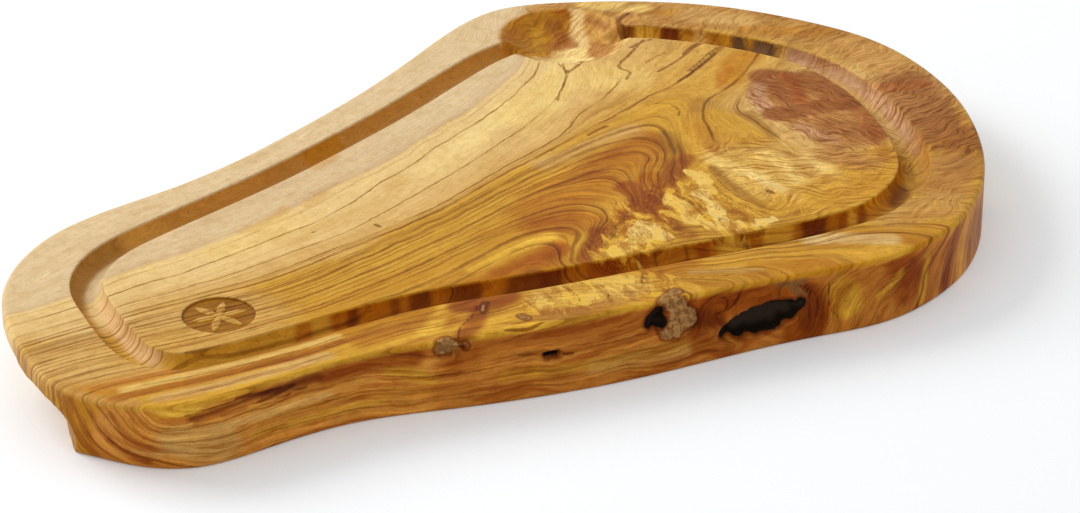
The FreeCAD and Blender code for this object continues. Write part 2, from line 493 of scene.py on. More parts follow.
# The wood's figure. The tree's growth lines were followed over the top and down the front wall, each
# given the distance, in mm, that it lies in from the bark. Between them the lines run evenly.
growth_lines_on_top = {
    -50: [(-205, 12), (-150, 36), (-100, 51), (-50, 75), (0, 104), (50, 138)],
    -28: [
        (-226, -22), (-206, -5), (-180, 8), (-140, 18), (-100, 28), (-60, 45), (-20, 68), (20, 94),
        (60, 121),
    ],
    7: [
        (-226, -40), (-200, -37), (-180, -26), (-160, -22), (-131, -17.5), (-110, -11), (-90, -2.5),
        (-60, 12), (-40, 17.5), (-20, 26), (0, 37), (18, 48), (28, 55), (46, 68.5), (60, 79), (67, 89),
        (76, 104), (86, 131),
    ],
    22: [
        (-229, -49), (-205, -46), (-180, -43), (-152, -39), (-132, -32), (-115, -27.5), (-100, -22),
        (-84, -19), (-69, -11), (-60, -7.5), (-50, -0.5), (-44, 5), (-40, 8), (-32, 10.5), (-28, 13),
        (-21, 18), (-14.5, 23), (-8, 28), (1, 33), (8, 38), (20, 45), (29, 51), (40, 57), (50, 67),
        (58, 73), (65.5, 79.5), (71, 87), (83, 103), (95, 136),
    ],
    38: [
        (-229, -59), (-201, -56), (-180, -50), (-150, -47), (-132, -45.5), (-120, -42.5), (-102, -38),
        (-86, -35), (-72, -30.5), (-60, -23.5), (-50, -19), (-40, -13.5), (-30, -9.5), (-20, -4),
        (-10, 0), (-3, 4), (5.5, 8.5), (13, 13), (20, 18), (28, 23), (37, 28), (45.5, 34.5),
        (52, 38.5), (59, 44), (63, 48), (68, 55), (72, 59.5), (77, 66), (79, 73), (80, 84), (92, 103),
        (108, 134),
    ],
    47.5: [
        (-229, -67), (-186, -60), (-160, -57.5), (-140, -55.5), (-110, -50.5), (-100, -47.5),
        (-84, -42.5), (-70, -40), (-60, -38), (-50, -35.5), (-40, -31), (-30, -28), (-22, -24.5),
        (-15.5, -19.5), (-8, -16.5), (-1, -12), (8, -8), (15.5, -2), (23, 1), (32, 5), (41, 8.5),
        (48, 13), (53, 17), (58, 22), (61, 28), (64.5, 30.5), (70, 34), (77, 37), (87, 44), (94.5, 49),
        (101, 54.5), (107, 60), (114, 68), (122, 76), (131, 85), (142, 97), (160, 112),
    ],
    51.5: [
        (-115, -56), (-100, -52), (-85, -47), (-71, -43.5), (-40, -34.5), (-20, -25.5), (0, -15.5),
        (10, -10.5), (20, -6.5), (30, -3), (40, 2), (48, 7), (54.5, 10), (61, 13), (70, 15),
        (79, 18.5), (91, 23.5), (100, 28), (110, 32), (115.5, 37), (121, 39.5), (130, 43.5),
        (140, 48.5), (149, 54.5), (158, 60), (166, 66), (182, 77), (200, 89),
    ],
    55: [
        (-130, -63), (-115, -61), (-100, -57.5), (-85, -52.5), (-71, -48.5), (-50, -40), (-20, -28),
        (0, -18.5), (20, -9.5), (40, -0.5), (60, 8), (78, 13.5), (91, 19), (101, 24), (107, 26),
        (111, 21), (109.5, 13), (105, 6), (100, -1), (95, -10.5), (90, -18), (84, -28),
    ],
    60: [
        (0, -21), (20, -12.5), (40, -5), (55, 1), (70, 5.5), (80, 8), (88, 8.5), (94, 5), (94, 0),
        (91, -8), (87, -17),
    ],
    65: [
        (-80, -56), (-60, -47.5), (-40, -39.5), (-20, -32), (0, -25), (20, -17), (41, -8), (52, -4.5),
        (63, -3), (74, -2), (83, -4), (88, -9), (86.5, -17), (83, -25),
    ],
    69: [
        (0, -28), (20, -20.5), (40, -14), (52, -12), (63, -10.5), (73, -10), (79, -12), (82, -16),
        (82, -22), (79, -29),
    ],
    72: [(41, -18), (52, -15), (63, -13.5), (72, -14), (76, -18), (77, -24)],
    77: [
        (-70, -65), (-60, -62), (-50, -58), (-40, -54.5), (-30, -51), (-20, -46.5), (-10, -42),
        (0, -38), (10, -34), (20, -31), (30, -28), (41, -25.5), (50, -24.5), (55.5, -25.5),
        (59, -28.5), (60, -33), (59, -38), (56.5, -44),
    ],
    81: [(0, -41), (10, -37.5), (20, -35), (30, -34), (37, -36.5), (42, -41), (44, -47)],
    85: [
        (-70, -73), (-50, -65), (-30, -58), (-15, -53), (0, -47.5), (10, -44.5), (19, -43), (28, -43),
        (37, -45), (43, -49), (47, -54.5), (48, -60),
    ],
    89: [
        (-50, -69.5), (-30, -62.5), (-10, -55), (0, -51), (10, -49), (19, -48.5), (26.5, -49.5),
        (30, -53.5), (32, -59), (34, -63.5),
    ],
    94: [(-20, -62.5), (0, -57.5), (8, -57), (17, -57), (24.5, -59), (29, -63.5), (30, -69)],
    97: [
        (-150, -98), (-135, -96), (-100, -91), (-85, -87.5), (-70, -83.5), (-60, -80.5), (-40, -72),
        (-25, -66.5), (-10, -61),
    ],
    100: [
        (-100, -98), (-75, -93), (-62, -89), (-50, -85), (-40, -80.5), (-30, -76), (-20, -71),
        (-10, -67), (0, -65), (8, -66.5), (14.5, -71), (18, -75.5), (17, -82),
    ],
    106: [(-60, -96), (-40, -89), (-25, -84), (-10, -80), (0, -80), (5, -84), (3, -90)],
    111: [(-30, -95), (-15, -90), (-6, -89), (-5, -94)],
    58: [(82, -33), (77, -40), (74, -49), (67, -57), (61, -64), (50, -69)],
    70: [(66, -40), (63, -52), (56, -62), (43, -72), (33, -79), (22, -89)],
    76: [(56, -46), (54, -54), (48, -63), (39, -70), (29, -77)],
    90: [(34, -65), (32, -70), (26, -77), (19, -83), (11, -89), (3, -97)],
    66: [(60, -70), (51, -76), (42, -86), (34, -98)],
    62: [(68, -66), (70.5, -75), (71, -87), (75, -95), (80, -101)],
    57: [(88, -51), (87, -63), (89.5, -73), (91, -81), (96, -90), (101, -97)],
    54.5: [(95, -22), (94, -39), (95.5, -49), (94, -66), (95.5, -75), (98, -85), (105, -95)],
    51: [(117, -8), (116, -25), (116, -45), (114, -60), (111, -70), (107, -80)],
    50: [
        (118, 0), (120, 7), (125, 13), (132, 18), (142, 22.5), (152, 26), (159, 32), (165, 38),
        (175, 48), (192, 60), (214, 68),
    ],
    53: [(117, 20), (124, 24), (133, 27), (137, 30), (140, 37), (144, 45), (152, 51), (164, 58)],
    48: [(135, -8), (134, -23), (136, -35), (134, -50), (131, -62), (124, -73)],
    46: [
        (140, -10), (139, 0), (141, 8), (145, 14), (151, 18), (160, 22), (170, 22), (180, 16),
        (186, 4),
    ],
    44: [(150, -30), (155, -42), (168, -45), (178, -34)],
    56: [(106, -91), (125, -86), (145, -80), (160, -71), (172, -60)],
    60.5: [(116, -101), (135, -96), (155, -87), (168, -77)],
    52: [(206, -57), (224, -47), (152, -66), (165, -58)],
    47: [(205, -20), (226, -17), (205, -36), (224, -30)],
    44.5: [(205, 5), (230, 8)],
    48.5: [(205, 32), (227, 38)],
    42: [(110, 100), (124, 117), (138, 127)],
    112: [
        (-222, -111), (-190, -111), (-160, -112.5), (-130, -112), (-100, -109.5), (-80, -107.5),
        (-60, -106),
    ],
    120: [(-216, -119.5), (-180, -119), (-140, -118), (-120, -115.5), (-108, -113)],
    125: [(-212, -123), (-180, -124), (-140, -123), (-115, -120), (-100, -115.5)],
    130: [
        (-204, -130), (-170, -129.5), (-140, -128), (-120, -125.5), (-102, -121.5), (-85, -117),
        (-60, -117), (-30, -117), (0, -122), (30, -132), (52, -141),
    ],
    137: [(-192, -137), (-160, -135), (-130, -133), (-100, -130), (-70, -129), (-35, -131), (0, -137)],
    122: [(-20, -108), (10, -115), (40, -123.5), (70, -134), (94, -142)],
    114: [(42, -117), (70, -124.5), (100, -132.5), (130, -142), (140, -144)],
    107: [(80, -118.5), (110, -126), (140, -134), (154, -138)],
    98: [(120, -113), (145, -121), (160, -128), (170, -130)],
    80: [(150, -108), (165, -116), (180, -118)],
    62.5: [(170, -93), (185, -98), (198, -98)],
}
growth_lines_on_front = {
    133: [
        (-204, 27), (-202, 22), (-198, 18.5), (-190, 19), (-170, 20), (-150, 20), (-125, 22),
        (-107, 24), (-95, 22), (-88, 19), (-80, 16.5), (-66, 17), (-50, 19.5), (-20, 20), (0, 20.5),
    ],
    128: [
        (-209, 27), (-207, 20), (-203, 16), (-190, 15.5), (-160, 15), (-130, 16), (-107, 18.5),
        (-90, 15), (-79, 13.5), (-65, 14.5), (-50, 14), (-30, 12.5), (0, 13), (30, 14.5), (42, 12),
    ],
    123: [
        (-214, 27), (-211, 20), (-205, 14), (-198, 11.5), (-188, 12), (-159, 11.5), (-128, 10),
        (-107, 9), (-88, 6.5), (-60, 8.5), (-30, 8), (0, 8.5), (30, 9), (50, 5),
    ],
    117: [
        (-219, 24), (-215.5, 14.5), (-210, 8.5), (-201, 7), (-190, 5.5), (-150, 5), (-110, 3.5),
        (-80, 3), (-40, 4), (0, 4), (40, 3.5), (62, 2.5),
    ],
    112: [(-223, 27), (-222, 17), (-219, 7.5), (-213, 3.5), (-201, 2.5)],
    137: [(-190, 27.5), (-150, 27), (-120, 27.5), (-90, 27)],
    136: [(-50, 26), (-20, 25.5), (5, 26)],
    121: [(40, 19), (50, 21), (60, 23), (70, 24.5), (79, 22.5), (85, 17), (84, 11), (78, 6)],
    119: [(45, 25), (60, 26.5), (75, 27.5), (84, 24), (89, 17), (88, 9), (82, 3)],
    116: [(84, 28), (90, 23), (93, 16), (92, 8), (89, 2)],
    111.5: [(97, 8), (97, 15), (101, 21), (108, 26), (118, 28.5)],
    108: [(104, 4), (106, 12), (111, 17), (117, 20), (124, 25), (134, 27)],
    104.5: [(120, 4), (122, 12), (128, 16), (135, 18), (140, 24)],
    101: [(142, 3), (143, 12), (144.5, 20), (147, 27)],
    95: [(156, 3), (157, 14), (160, 26)],
    86: [(169, 3), (170, 15), (172, 26)],
}
# The ends, the back and the core, where no line could be followed: a place, and the growth distance
# there
growth_elsewhere = [
    (-233, -20, 5, 3), (-232, -50, 5, 30), (-222, -80, 5, 84), (-222, -100, 5, 101),
    (230, 10, 4, 44), (226, -45, 4, 52), (205, -90, 4, 62), (184, -120, 4, 75),
    (60, 140, 3, -78), (0, 104, 3, -82), (-60, 68, 3, -84), (-120, 42, 3, -82), (-180, 22, 3, -76),
    (-210, 0, 3, -50), (100, 147, 3, -30), (150, 127, 3, 22), (205, 77, 3, 40),
    (0, 0, 0, 50), (-100, 0, 0, 10), (-100, -80, 0, 88), (100, 50, 0, 47), (100, -60, 0, 60),
]

traced = []
growth = []
for value, line in growth_lines_on_top.items():
    traced += [(x, y, slab_top) for x, y in line]
    growth += [value] * len(line)
for value, line in growth_lines_on_front.items():
    traced += [tuple(on_front(x, height)) for x, height in line]
    growth += [value] * len(line)
traced += [place[:3] for place in growth_elsewhere]
growth += [place[3] for place in growth_elsewhere]
traced = np.array(traced, dtype=float)
growth = np.array(growth, dtype=float)

growth_slack = 20.0  # how readily the lines pass a traced point by, to stay smooth
least_slope = 0.15
most_slope = 8.0
tiny = 1e-9  # keeps roots and quotients safe


def pairwise(a, b):
    """How far each of a is from each of b."""
    squares = ((a[:, None, :] - b[None, :, :]) ** 2).sum(axis=2)
    return np.sqrt(np.maximum(squares, tiny))


span = pairwise(traced, traced)
flat = np.column_stack([np.ones(len(traced)), traced])
corner = span**1.5 - np.eye(len(traced)) * growth_slack
system = np.block([[corner, flat], [flat.T, np.zeros((4, 4))]])
pulls = np.linalg.solve(system, np.concatenate([growth, np.zeros(4)]))


def growth_at(places, chunk=4000):
    """The growth distance at each place, and how fast it changes there in each direction."""
    distance = np.empty(len(places))
    change = np.empty((len(places), 3))
    weights, tilt = pulls[:-4], pulls[-4:]
    for start in range(0, len(places), chunk):
        part = places[start : start + chunk]
        apart = pairwise(part, traced)
        distance[start : start + chunk] = apart**1.5 @ weights + tilt[0] + part @ tilt[1:]
        pull = 1.5 * apart**-0.5 * weights
        change[start : start + chunk] = part * pull.sum(axis=1)[:, None] - pull @ traced + tilt[1:]
    return distance, change


growth_distance, growth_change = growth_at(points)
growth_change -= normals * (growth_change * normals).sum(axis=1)[:, None]
growth_slope = np.clip(np.linalg.norm(growth_change, axis=1), least_slope, most_slope)

# The oiled wood's colours, in everyday 0 to 255 values.
wood_colours = {
    "cream sapwood": (216, 190, 148),
    "pink sapwood": (206, 176, 136),
    "pale yellow": (226, 194, 132),
    "cream yellow": (233, 201, 118),
    "straw": (213, 172, 102),
    "honey": (208, 158, 52),
    "gold": (218, 168, 56),
    "amber": (192, 130, 24),
    "orange brown": (174, 99, 6),
    "russet": (150, 70, 4),
    "dark red": (108, 40, 6),
    "umber": (88, 46, 12),
    "bright yellow": (234, 188, 68),
    "spalted yellow": (232, 194, 98),
    "green straw": (214, 172, 84),
    "wall gold": (216, 148, 66),
    "wall brown": (178, 104, 36),
    "well brown": (180, 124, 36),
    "dull gold": (182, 132, 62),
    "bright cream": (240, 216, 144),
    "dusty black": (56, 44, 36),
    "olive": (150, 102, 28),
    "tan": (200, 152, 80),
    "pale tan": (226, 186, 132),
    "burl brown": (150, 90, 38),
    "burl tan": (180, 126, 64),
    "slate": (70, 54, 54),
    "pink grey": (186, 142, 112),
    "bark beige": (176, 130, 78),
    "bark grey": (126, 86, 48),
    "hollow black": (34, 24, 18),
}


def light_value(colour):
    """The colour as shaders take it, from its everyday 0 to 255 form."""
    share = np.array(colour) / 255
    return np.where(share <= 0.04045, share / 12.92, ((share + 0.055) / 1.055) ** 2.4)


across_growth = [
    (-84, "straw"),
    (-74, "pale tan"),
    (-60, "cream sapwood"),
    (2, "cream sapwood"),
    (6, "pink sapwood"),
    (8.5, "pale yellow"),
    (30, "pale yellow"),
    (46, "straw"),
    (54, "honey"),
    (84, "honey"),
    (98, "honey"),
    (110, "amber"),
    (118, "amber"),
    (126, "honey"),
    (140, "gold"),
]
base_stops = np.array([stop for stop, _ in across_growth])
base_values = np.array([light_value(wood_colours[name]) for _, name in across_growth])
tone = np.column_stack([np.interp(growth_distance, base_stops, part) for part in base_values.T])


def lattice_noise(places, seed):
    """Smooth noise from -1 to 1, a lattice step of 1. Any large odd numbers stir it as well."""
    base = np.floor(places).astype(np.int64)
    part = places - base
    part = part * part * (3 - 2 * part)
    total = np.zeros(len(places))
    for corner in range(8):
        bits = np.array([corner & 1, corner >> 1 & 1, corner >> 2 & 1])
        cell = base + bits
        mixed = cell[:, 0] * 73856093 ^ cell[:, 1] * 19349663 ^ cell[:, 2] * 83492791
        mixed = mixed ^ seed * 2654435761
        mixed = (mixed ^ mixed >> 13) * 1274126177 & 0xFFFFFFFF
        value = (mixed ^ mixed >> 16) % 20011 / 10005.5 - 1
        weight = np.prod(np.where(bits, part, 1 - part), axis=1)
        total += value * weight
    return total


# Flecks make the edges of what is painted ragged. They are drawn out along the growth lines.
across_fleck = 5.0
along_fleck = 28.0
grain_places = np.column_stack(
    [
        growth_distance / across_fleck,
        points[:, 0] / along_fleck,
        points[:, 1] / along_fleck + points[:, 2] / along_fleck,
    ]
)
ragged = lattice_noise(grain_places, 1) + 0.5 * lattice_noise(grain_places * 2.1 + 7, 2)

is_top = np.arange(len(points)) < first_wall


def rounded(line):
    """The line with its corners cut, twice over, so that it flows."""
    places = np.array(line, dtype=float)
    for _ in range(2):
        if len(places) > 2:
            cuts = [places[:-1] * 0.75 + places[1:] * 0.25, places[:-1] * 0.25 + places[1:] * 0.75]
            inner = np.stack(cuts, axis=1).reshape(-1, places.shape[1])
            places = np.concatenate([places[:1], inner[1:-1], places[-1:]])
    return places


def on_top(line):
    """A line of places in plan, kept off the walls below it."""
    return [0, 1], rounded(line)


def down_front(line):
    """A line on the front wall, drawn as places along the length and heights."""
    return [0, 1, 2], np.array([on_front(x, height) for x, height in rounded(line)])


def into_front(line):
    """The same, seen square on, so that it reaches in to the hollows' floors."""
    return [0, 2], rounded(line)


out_of_reach = 99.0
lip = 1.5  # how far below the top a point of the wall still counts as beside it
steep = 2.5  # how much further off a point seems for each mm below that
front_from = -60.0  # the front wall's points have a y below this


def apart_from_line(line):
    """Each point's distance from a line."""
    axes, places = line
    own = points[:, axes]
    best = np.full(len(points), np.inf)
    for start, end in zip(places[:-1], places[1:]):
        way = end - start
        along = np.clip((own - start) @ way / max(way @ way, tiny), 0, 1)
        best = np.minimum(best, np.linalg.norm(own - start - along[:, None] * way, axis=1))
    if axes == [0, 1]:
        below = np.clip(slab_top - lip - points[:, 2], 0, None)
        best = best + np.where(is_top, 0, below * steep)
    if axes == [0, 2]:
        best = np.where(is_top | (points[:, 1] > front_from), out_of_reach, best)
    return best


# How deep each point is sunk in a cut of the top, in mm, and masks from 0 to 1: high up on the board,
# in a cut, and clear of the cuts
high_up = smooth_step(points[:, 2], 20, 24)
sunk = np.where(is_top, slab_top - points[:, 2], 0.0)
in_cut = smooth_step(sunk, 0.2, 0.9)
off_cut = 1 - in_cut


def stroke_strength(line, half_width, softness):
    """1 on the line, fading to 0 beyond the half width, with a ragged edge."""
    apart = apart_from_line(line) + ragged * softness * 0.5
    return 1 - smooth_step(apart, half_width - softness, half_width + softness)


def brush(tone, strokes, place, mask):
    """Lays soft strokes over the tone: colour, strength, half width, softness, and where each runs."""
    for name, strength, half_width, softness, line in strokes:
        cover = (stroke_strength(place(line), half_width, softness) * mask * strength)[:, None]
        tone = tone * (1 - cover) + light_value(wood_colours[name]) * cover
    return tone


top_strokes = [
    ("pink sapwood", 0.5, 12, 6, [(-170, 0), (-100, 16), (-30, 42)]),
    ("tan", 0.55, 3.0, 2.5, [(-113, -13), (-100, -9)]),
    ("tan", 0.6, 3.0, 2.5, [(-96, -7), (-90, 0)]),
    ("tan", 0.5, 2.5, 2, [(-80, -1), (-68, 6)]),
    ("tan", 0.6, 3.5, 3, [(-62, 31), (-52, 37)]),
    ("straw", 0.9, 26, 10, [(-215, -86), (-150, -82)]),
    ("honey", 0.4, 12, 8, [(-190, -92), (-140, -86)]),
    ("pale yellow", 0.6, 9, 5, [(-215, -62), (-190, -60)]),
    ("cream yellow", 0.4, 8, 5, [(-130, -25), (-90, -12)]),
    ("straw", 0.6, 4, 3, [(-40, -3), (-33, 6)]),
    ("bright cream", 0.45, 7, 5, [(-20, 8), (10, 26), (40, 50)]),
    ("bright cream", 0.4, 6, 4, [(60, 44), (72, 66), (84, 84)]),
    ("straw", 0.5, 5, 4, [(-100, -30), (-72, -22), (-50, -10)]),
    ("straw", 0.5, 8, 6, [(-110, -48), (-70, -40)]),
    ("straw", 0.4, 6, 5, [(-95, -44), (-80, -50)]),
    ("cream yellow", 0.5, 12, 6, [(40, 40), (80, 70), (100, 56)]),
    ("amber", 0.4, 6, 4, [(-110, -90), (-70, -82), (-40, -74)]),
    ("amber", 0.5, 8, 6, [(-20, -62), (0, -55)]),
    ("amber", 0.4, 6, 5, [(10, -33), (34, -27), (60, -16), (84, -4)]),
    ("orange brown", 0.6, 13, 7, [(10, -50), (40, -36), (62, -22), (80, -10)]),
    ("orange brown", 0.6, 9, 4, [(4, -62), (22, -62), (26, -72)]),
    ("bright yellow", 0.85, 4.0, 1.6, [(-38, -86), (-22, -79), (-10, -75), (3, -71)]),
    ("gold", 0.7, 3, 1.6, [(-52, -92), (-38, -88)]),
    ("orange brown", 0.8, 5, 2.5, [(-30, -93), (-12, -88), (2, -83)]),
    ("russet", 0.5, 4, 2, [(-16, -95), (-4, -90), (4, -84)]),
    ("russet", 0.85, 6, 2, [(54, -44), (56, -52), (53, -61)]),
    ("russet", 0.8, 5, 2.5, [(90, -30), (82, -36), (77, -44)]),
    ("russet", 0.8, 4, 2, [(24, -76), (17, -86), (7, -97)]),
    ("orange brown", 0.8, 7, 3, [(66, -42), (66, -56), (58, -66), (42, -70)]),
    ("russet", 0.6, 4, 2, [(56, -72), (58, -96)]),
    ("green straw", 0.95, 18, 5, [(112, -40), (112, -64)]),
    ("straw", 0.9, 5, 4, [(30, -9), (42, -5), (60, 2), (82, 7)]),
    ("green straw", 0.6, 9, 4, [(126, -30), (130, -60), (126, -78)]),
    ("cream yellow", 0.7, 5, 3, [(100, -36), (104, -50), (112, -58)]),
    ("cream yellow", 0.8, 4, 3, [(122, -40), (126, -56), (124, -72)]),
    ("cream yellow", 0.7, 4, 3, [(138, -54), (142, -70), (140, -88)]),
    ("bright cream", 0.6, 3, 2, [(108, -56), (114, -74), (116, -86)]),
    ("tan", 0.5, 4, 3, [(132, -44), (134, -64), (130, -84)]),
    ("amber", 0.5, 4, 3, [(150, -64), (150, -82), (142, -94)]),
    ("olive", 0.75, 4, 2.5, [(92, -4), (90, -22)]),
    ("olive", 0.4, 9, 5, [(120, 14), (124, -12), (122, -30)]),
    ("olive", 0.7, 2.5, 1.5, [(96, -44), (95, -66), (99, -86)]),
    ("honey", 0.8, 12, 6, [(112, -88), (148, -82)]),
    ("amber", 0.5, 6, 4, [(132, -90), (156, -84)]),
    ("honey", 0.9, 12, 5, [(118, -2), (122, -20)]),
    ("amber", 0.6, 6, 4, [(108, -4), (106, -24)]),
    ("olive", 0.6, 2.5, 1.5, [(136, -2), (135, -26)]),
    ("amber", 0.9, 7, 2.5, [(145, 34), (152, 46), (164, 54)]),
    ("orange brown", 0.5, 2.5, 1.5, [(137, 28), (142, 38), (150, 44)]),
    ("tan", 0.9, 14, 4, [(216, 42), (218, 16)]),
    ("dull gold", 0.9, 14, 5, [(104, 134), (140, 116), (176, 92), (204, 62)]),
    ("cream yellow", 0.85, 5, 2.5, [(122, 136), (134, 127), (142, 122)]),
    ("amber", 0.6, 3, 2.5, [(146, 114), (156, 110)]),
    ("straw", 0.8, 7, 4, [(160, 104), (180, 88)]),
    ("amber", 0.6, 5, 3, [(176, 78), (206, 62)]),
    ("olive", 0.5, 2, 1.5, [(116, 118), (140, 128)]),
    ("burl brown", 0.85, 15, 9, [(217, -4), (214, -28), (206, -60)]),
    ("russet", 0.5, 5, 3, [(206, -4), (222, -8)]),
    ("burl brown", 0.6, 8, 4, [(204, -78), (196, -90)]),
    ("burl tan", 0.8, 12, 5, [(192, -84), (178, -104)]),
    ("tan", 0.8, 12, 5, [(146, -116), (170, -116)]),
    ("honey", 0.9, 10, 5, [(60, -122), (96, -128), (128, -142)]),
    ("pale yellow", 0.95, 4.4, 2.0, [(103, -121), (118, -127), (134, -135)]),
    ("straw", 0.6, 2.2, 1, [(44, -126), (70, -136)]),
    ("amber", 0.5, 3, 2, [(70, -131), (100, -141)]),
    ("gold", 0.5, 2.0, 1, [(60, -121), (90, -131)]),
    ("orange brown", 0.6, 6, 3, [(-104, -122), (-82, -118), (-66, -120)]),
    ("bright yellow", 0.8, 4, 2, [(-60, -108), (-68, -118), (-78, -126)]),
    ("russet", 0.85, 6, 2.5, [(-56, -112), (-44, -116), (-34, -112)]),
    ("russet", 0.8, 4, 2, [(-50, -118), (-58, -130), (-66, -136)]),
    ("spalted yellow", 0.9, 10, 3, [(-20, -122), (14, -124)]),
    ("bright yellow", 0.5, 6, 3, [(-16, -128), (-4, -118)]),
    ("burl tan", 0.6, 4, 2.5, [(-28, -134), (-14, -137), (10, -135)]),
    ("tan", 0.7, 3.5, 1.5, [(-230, -100), (-224, -113), (-217, -122), (-206, -130)]),
    ("cream yellow", 0.7, 2.2, 1, [(-206, -118.5), (-150, -118), (-112, -114)]),
    ("orange brown", 0.7, 2.2, 1, [(-212, -123.5), (-180, -124), (-140, -123.5), (-112, -119)]),
    ("straw", 0.9, 3.2, 1.2, [(-196, -131), (-170, -131.5), (-140, -129), (-122, -127)]),
    ("orange brown", 0.6, 1.6, 0.8, [(-217, -112), (-190, -112), (-160, -113), (-120, -111)]),
]
tone = brush(tone, top_strokes, on_top, off_cut * high_up)

# Where the groove and the well are cut, the wood has drunk more oil and is darker. Which way each wall
# faces picks its strokes: walls turned away from the window get painted shade on top of that darkening,
# and walls turned to it get a painted sheen.
away_from_window = smooth_step(normals[:, 0] * 0.8 - normals[:, 1], 0.0, 0.4)
toward_window = smooth_step(-normals[:, 0], 0.1, 0.6)
facing_front = smooth_step(-normals[:, 1], 0.1, 0.5)
# Walls turned away from the window: amber for the oil-darkened wood, with umber and russet laid over it
# as painted shade
groove_oil_and_shade_strokes = [
    ("amber", 0.85, 12, 1, [(-198, -66), (-197, -40), (-186, -12), (-160, 6), (-100, 28), (-50, 52)]),
    ("amber", 0.85, 12, 1, [(-50, 52), (0, 79), (50, 108), (66, 116)]),
    ("tan", 0.85, 12, 4, [(-196, -76), (-193, -98)]),
    ("umber", 0.35, 11, 4, [(-196, -30), (-186, -10), (-170, 2)]),
    ("russet", 0.2, 11, 4, [(-130, 20), (-60, 48), (0, 79), (66, 116)]),
]
tone = brush(tone, groove_oil_and_shade_strokes, on_top, in_cut * away_from_window)
# Walls turned to the window: pale tan and pink grey are a painted sheen, and burl tan is the wood's own
# colour
groove_sheen_and_tone_strokes = [
    ("pale tan", 0.9, 10, 3, [(-188, -50), (-187, -76), (-184, -90)]),
    ("pink grey", 0.8, 12, 3, [(196, 44), (202, 10), (200, -24), (194, -50)]),
    ("burl tan", 0.7, 12, 4, [(192, -60), (184, -78), (172, -90)]),
]
tone = brush(tone, groove_sheen_and_tone_strokes, on_top, in_cut * toward_window)
# Walls facing the front: the honey stroke along the left of the front groove is a painted sheen, and
# the rest is oil-darkened wood
groove_front_oil_and_sheen_strokes = [
    ("burl brown", 0.8, 12, 3, [(190, 30), (190, 0), (186, -30)]),
    ("honey", 0.8, 12, 1, [(-176, -106), (-110, -101)]),
    ("orange brown", 0.95, 12, 2, [(-96, -100), (-30, -102), (20, -104)]),
    ("orange brown", 0.9, 12, 2, [(36, -105), (100, -109), (150, -100)]),
    ("russet", 0.8, 12, 4, [(164, -92), (180, -66), (187, -44)]),
    ("amber", 0.7, 12, 3, [(152, -98), (164, -90)]),
    ("amber", 0.9, 12, 1, [(120, 104), (150, 88), (170, 66)]),
]
tone = brush(tone, groove_front_oil_and_sheen_strokes, on_top, in_cut * facing_front)

# Bands where growth lines come out on the groove's wall
groove_bands = [
    ("dark red", 0.8, 5, 1.5, [(122, 96), (129, 113)]),
    ("dark red", 0.95, 4.5, 1.5, [(139, 84), (149, 104)]),
    ("gold", 0.8, 4, 1.5, [(132, 98), (138, 108)]),
    ("dark red", 0.35, 3.2, 1.6, [(156, 70), (164, 86)]),
    ("slate", 0.8, 3.4, 1.8, [(166, 64), (172, 80)]),
    ("slate", 0.8, 5.5, 3.0, [(173, 56), (182, 70)]),
    ("pink grey", 0.8, 6.0, 3.0, [(187, 48), (194, 44)]),
    ("orange brown", 0.8, 3, 1.2, [(-126, -106), (-120, -98)]),
    ("dark red", 0.8, 2.2, 1, [(-103, -110), (-97, -94)]),
    ("orange brown", 0.7, 4, 1.5, [(-94, -110), (-86, -94)]),
    ("dark red", 0.7, 2.4, 1.4, [(-84, -110), (-78, -94)]),
    ("dark red", 0.85, 5.0, 2, [(-76, -112), (-66, -94)]),
    ("orange brown", 0.6, 2, 1, [(-67, -112), (-58, -94)]),
    ("dark red", 0.75, 6.5, 2, [(-56, -112), (-46, -96)]),
    ("dark red", 0.8, 8.0, 3, [(-34, -112), (-18, -98)]),
    ("dark red", 0.9, 5.0, 2, [(-16, -112), (-8, -98)]),
    ("orange brown", 0.9, 2.4, 1.2, [(-4, -112), (2, -98)]),
    ("russet", 0.9, 6.5, 1.5, [(8, -114), (15, -100)]),
    ("umber", 0.7, 0.9, 0.5, [(27, -114), (31, -100)]),
    ("umber", 0.6, 0.8, 0.5, [(35, -114), (39, -100)]),
    ("umber", 0.6, 0.9, 0.5, [(49, -116), (53, -102)]),
    ("russet", 0.9, 3.0, 1.0, [(57, -116), (61, -100)]),
    ("gold", 0.7, 6.0, 2, [(70, -116), (74, -102)]),
    ("umber", 0.8, 1.0, 0.5, [(78, -118), (81, -111), (79, -104)]),
    ("gold", 0.8, 7.0, 2, [(91, -117), (96, -104)]),
    ("dark red", 0.9, 5.5, 1.5, [(106, -118), (114, -104)]),
    ("russet", 0.7, 2.0, 1.0, [(120, -118), (128, -104)]),
    ("gold", 0.6, 1.8, 1.0, [(125, -118), (133, -104)]),
    ("dark red", 0.6, 2.0, 1.0, [(131, -116), (139, -102)]),
    ("dark red", 0.7, 5.0, 2, [(160, -98), (166, -88)]),
    ("dark red", 0.35, 4.0, 2, [(178, -80), (182, -60)]),
    ("straw", 0.8, 3, 1.5, [(152, 76), (159, 94)]),
]
facing_forward = smooth_step(normals[:, 0] * 0.5 - normals[:, 1], -0.2, 0.1)
tone = brush(tone, groove_bands, on_top, in_cut * facing_forward)
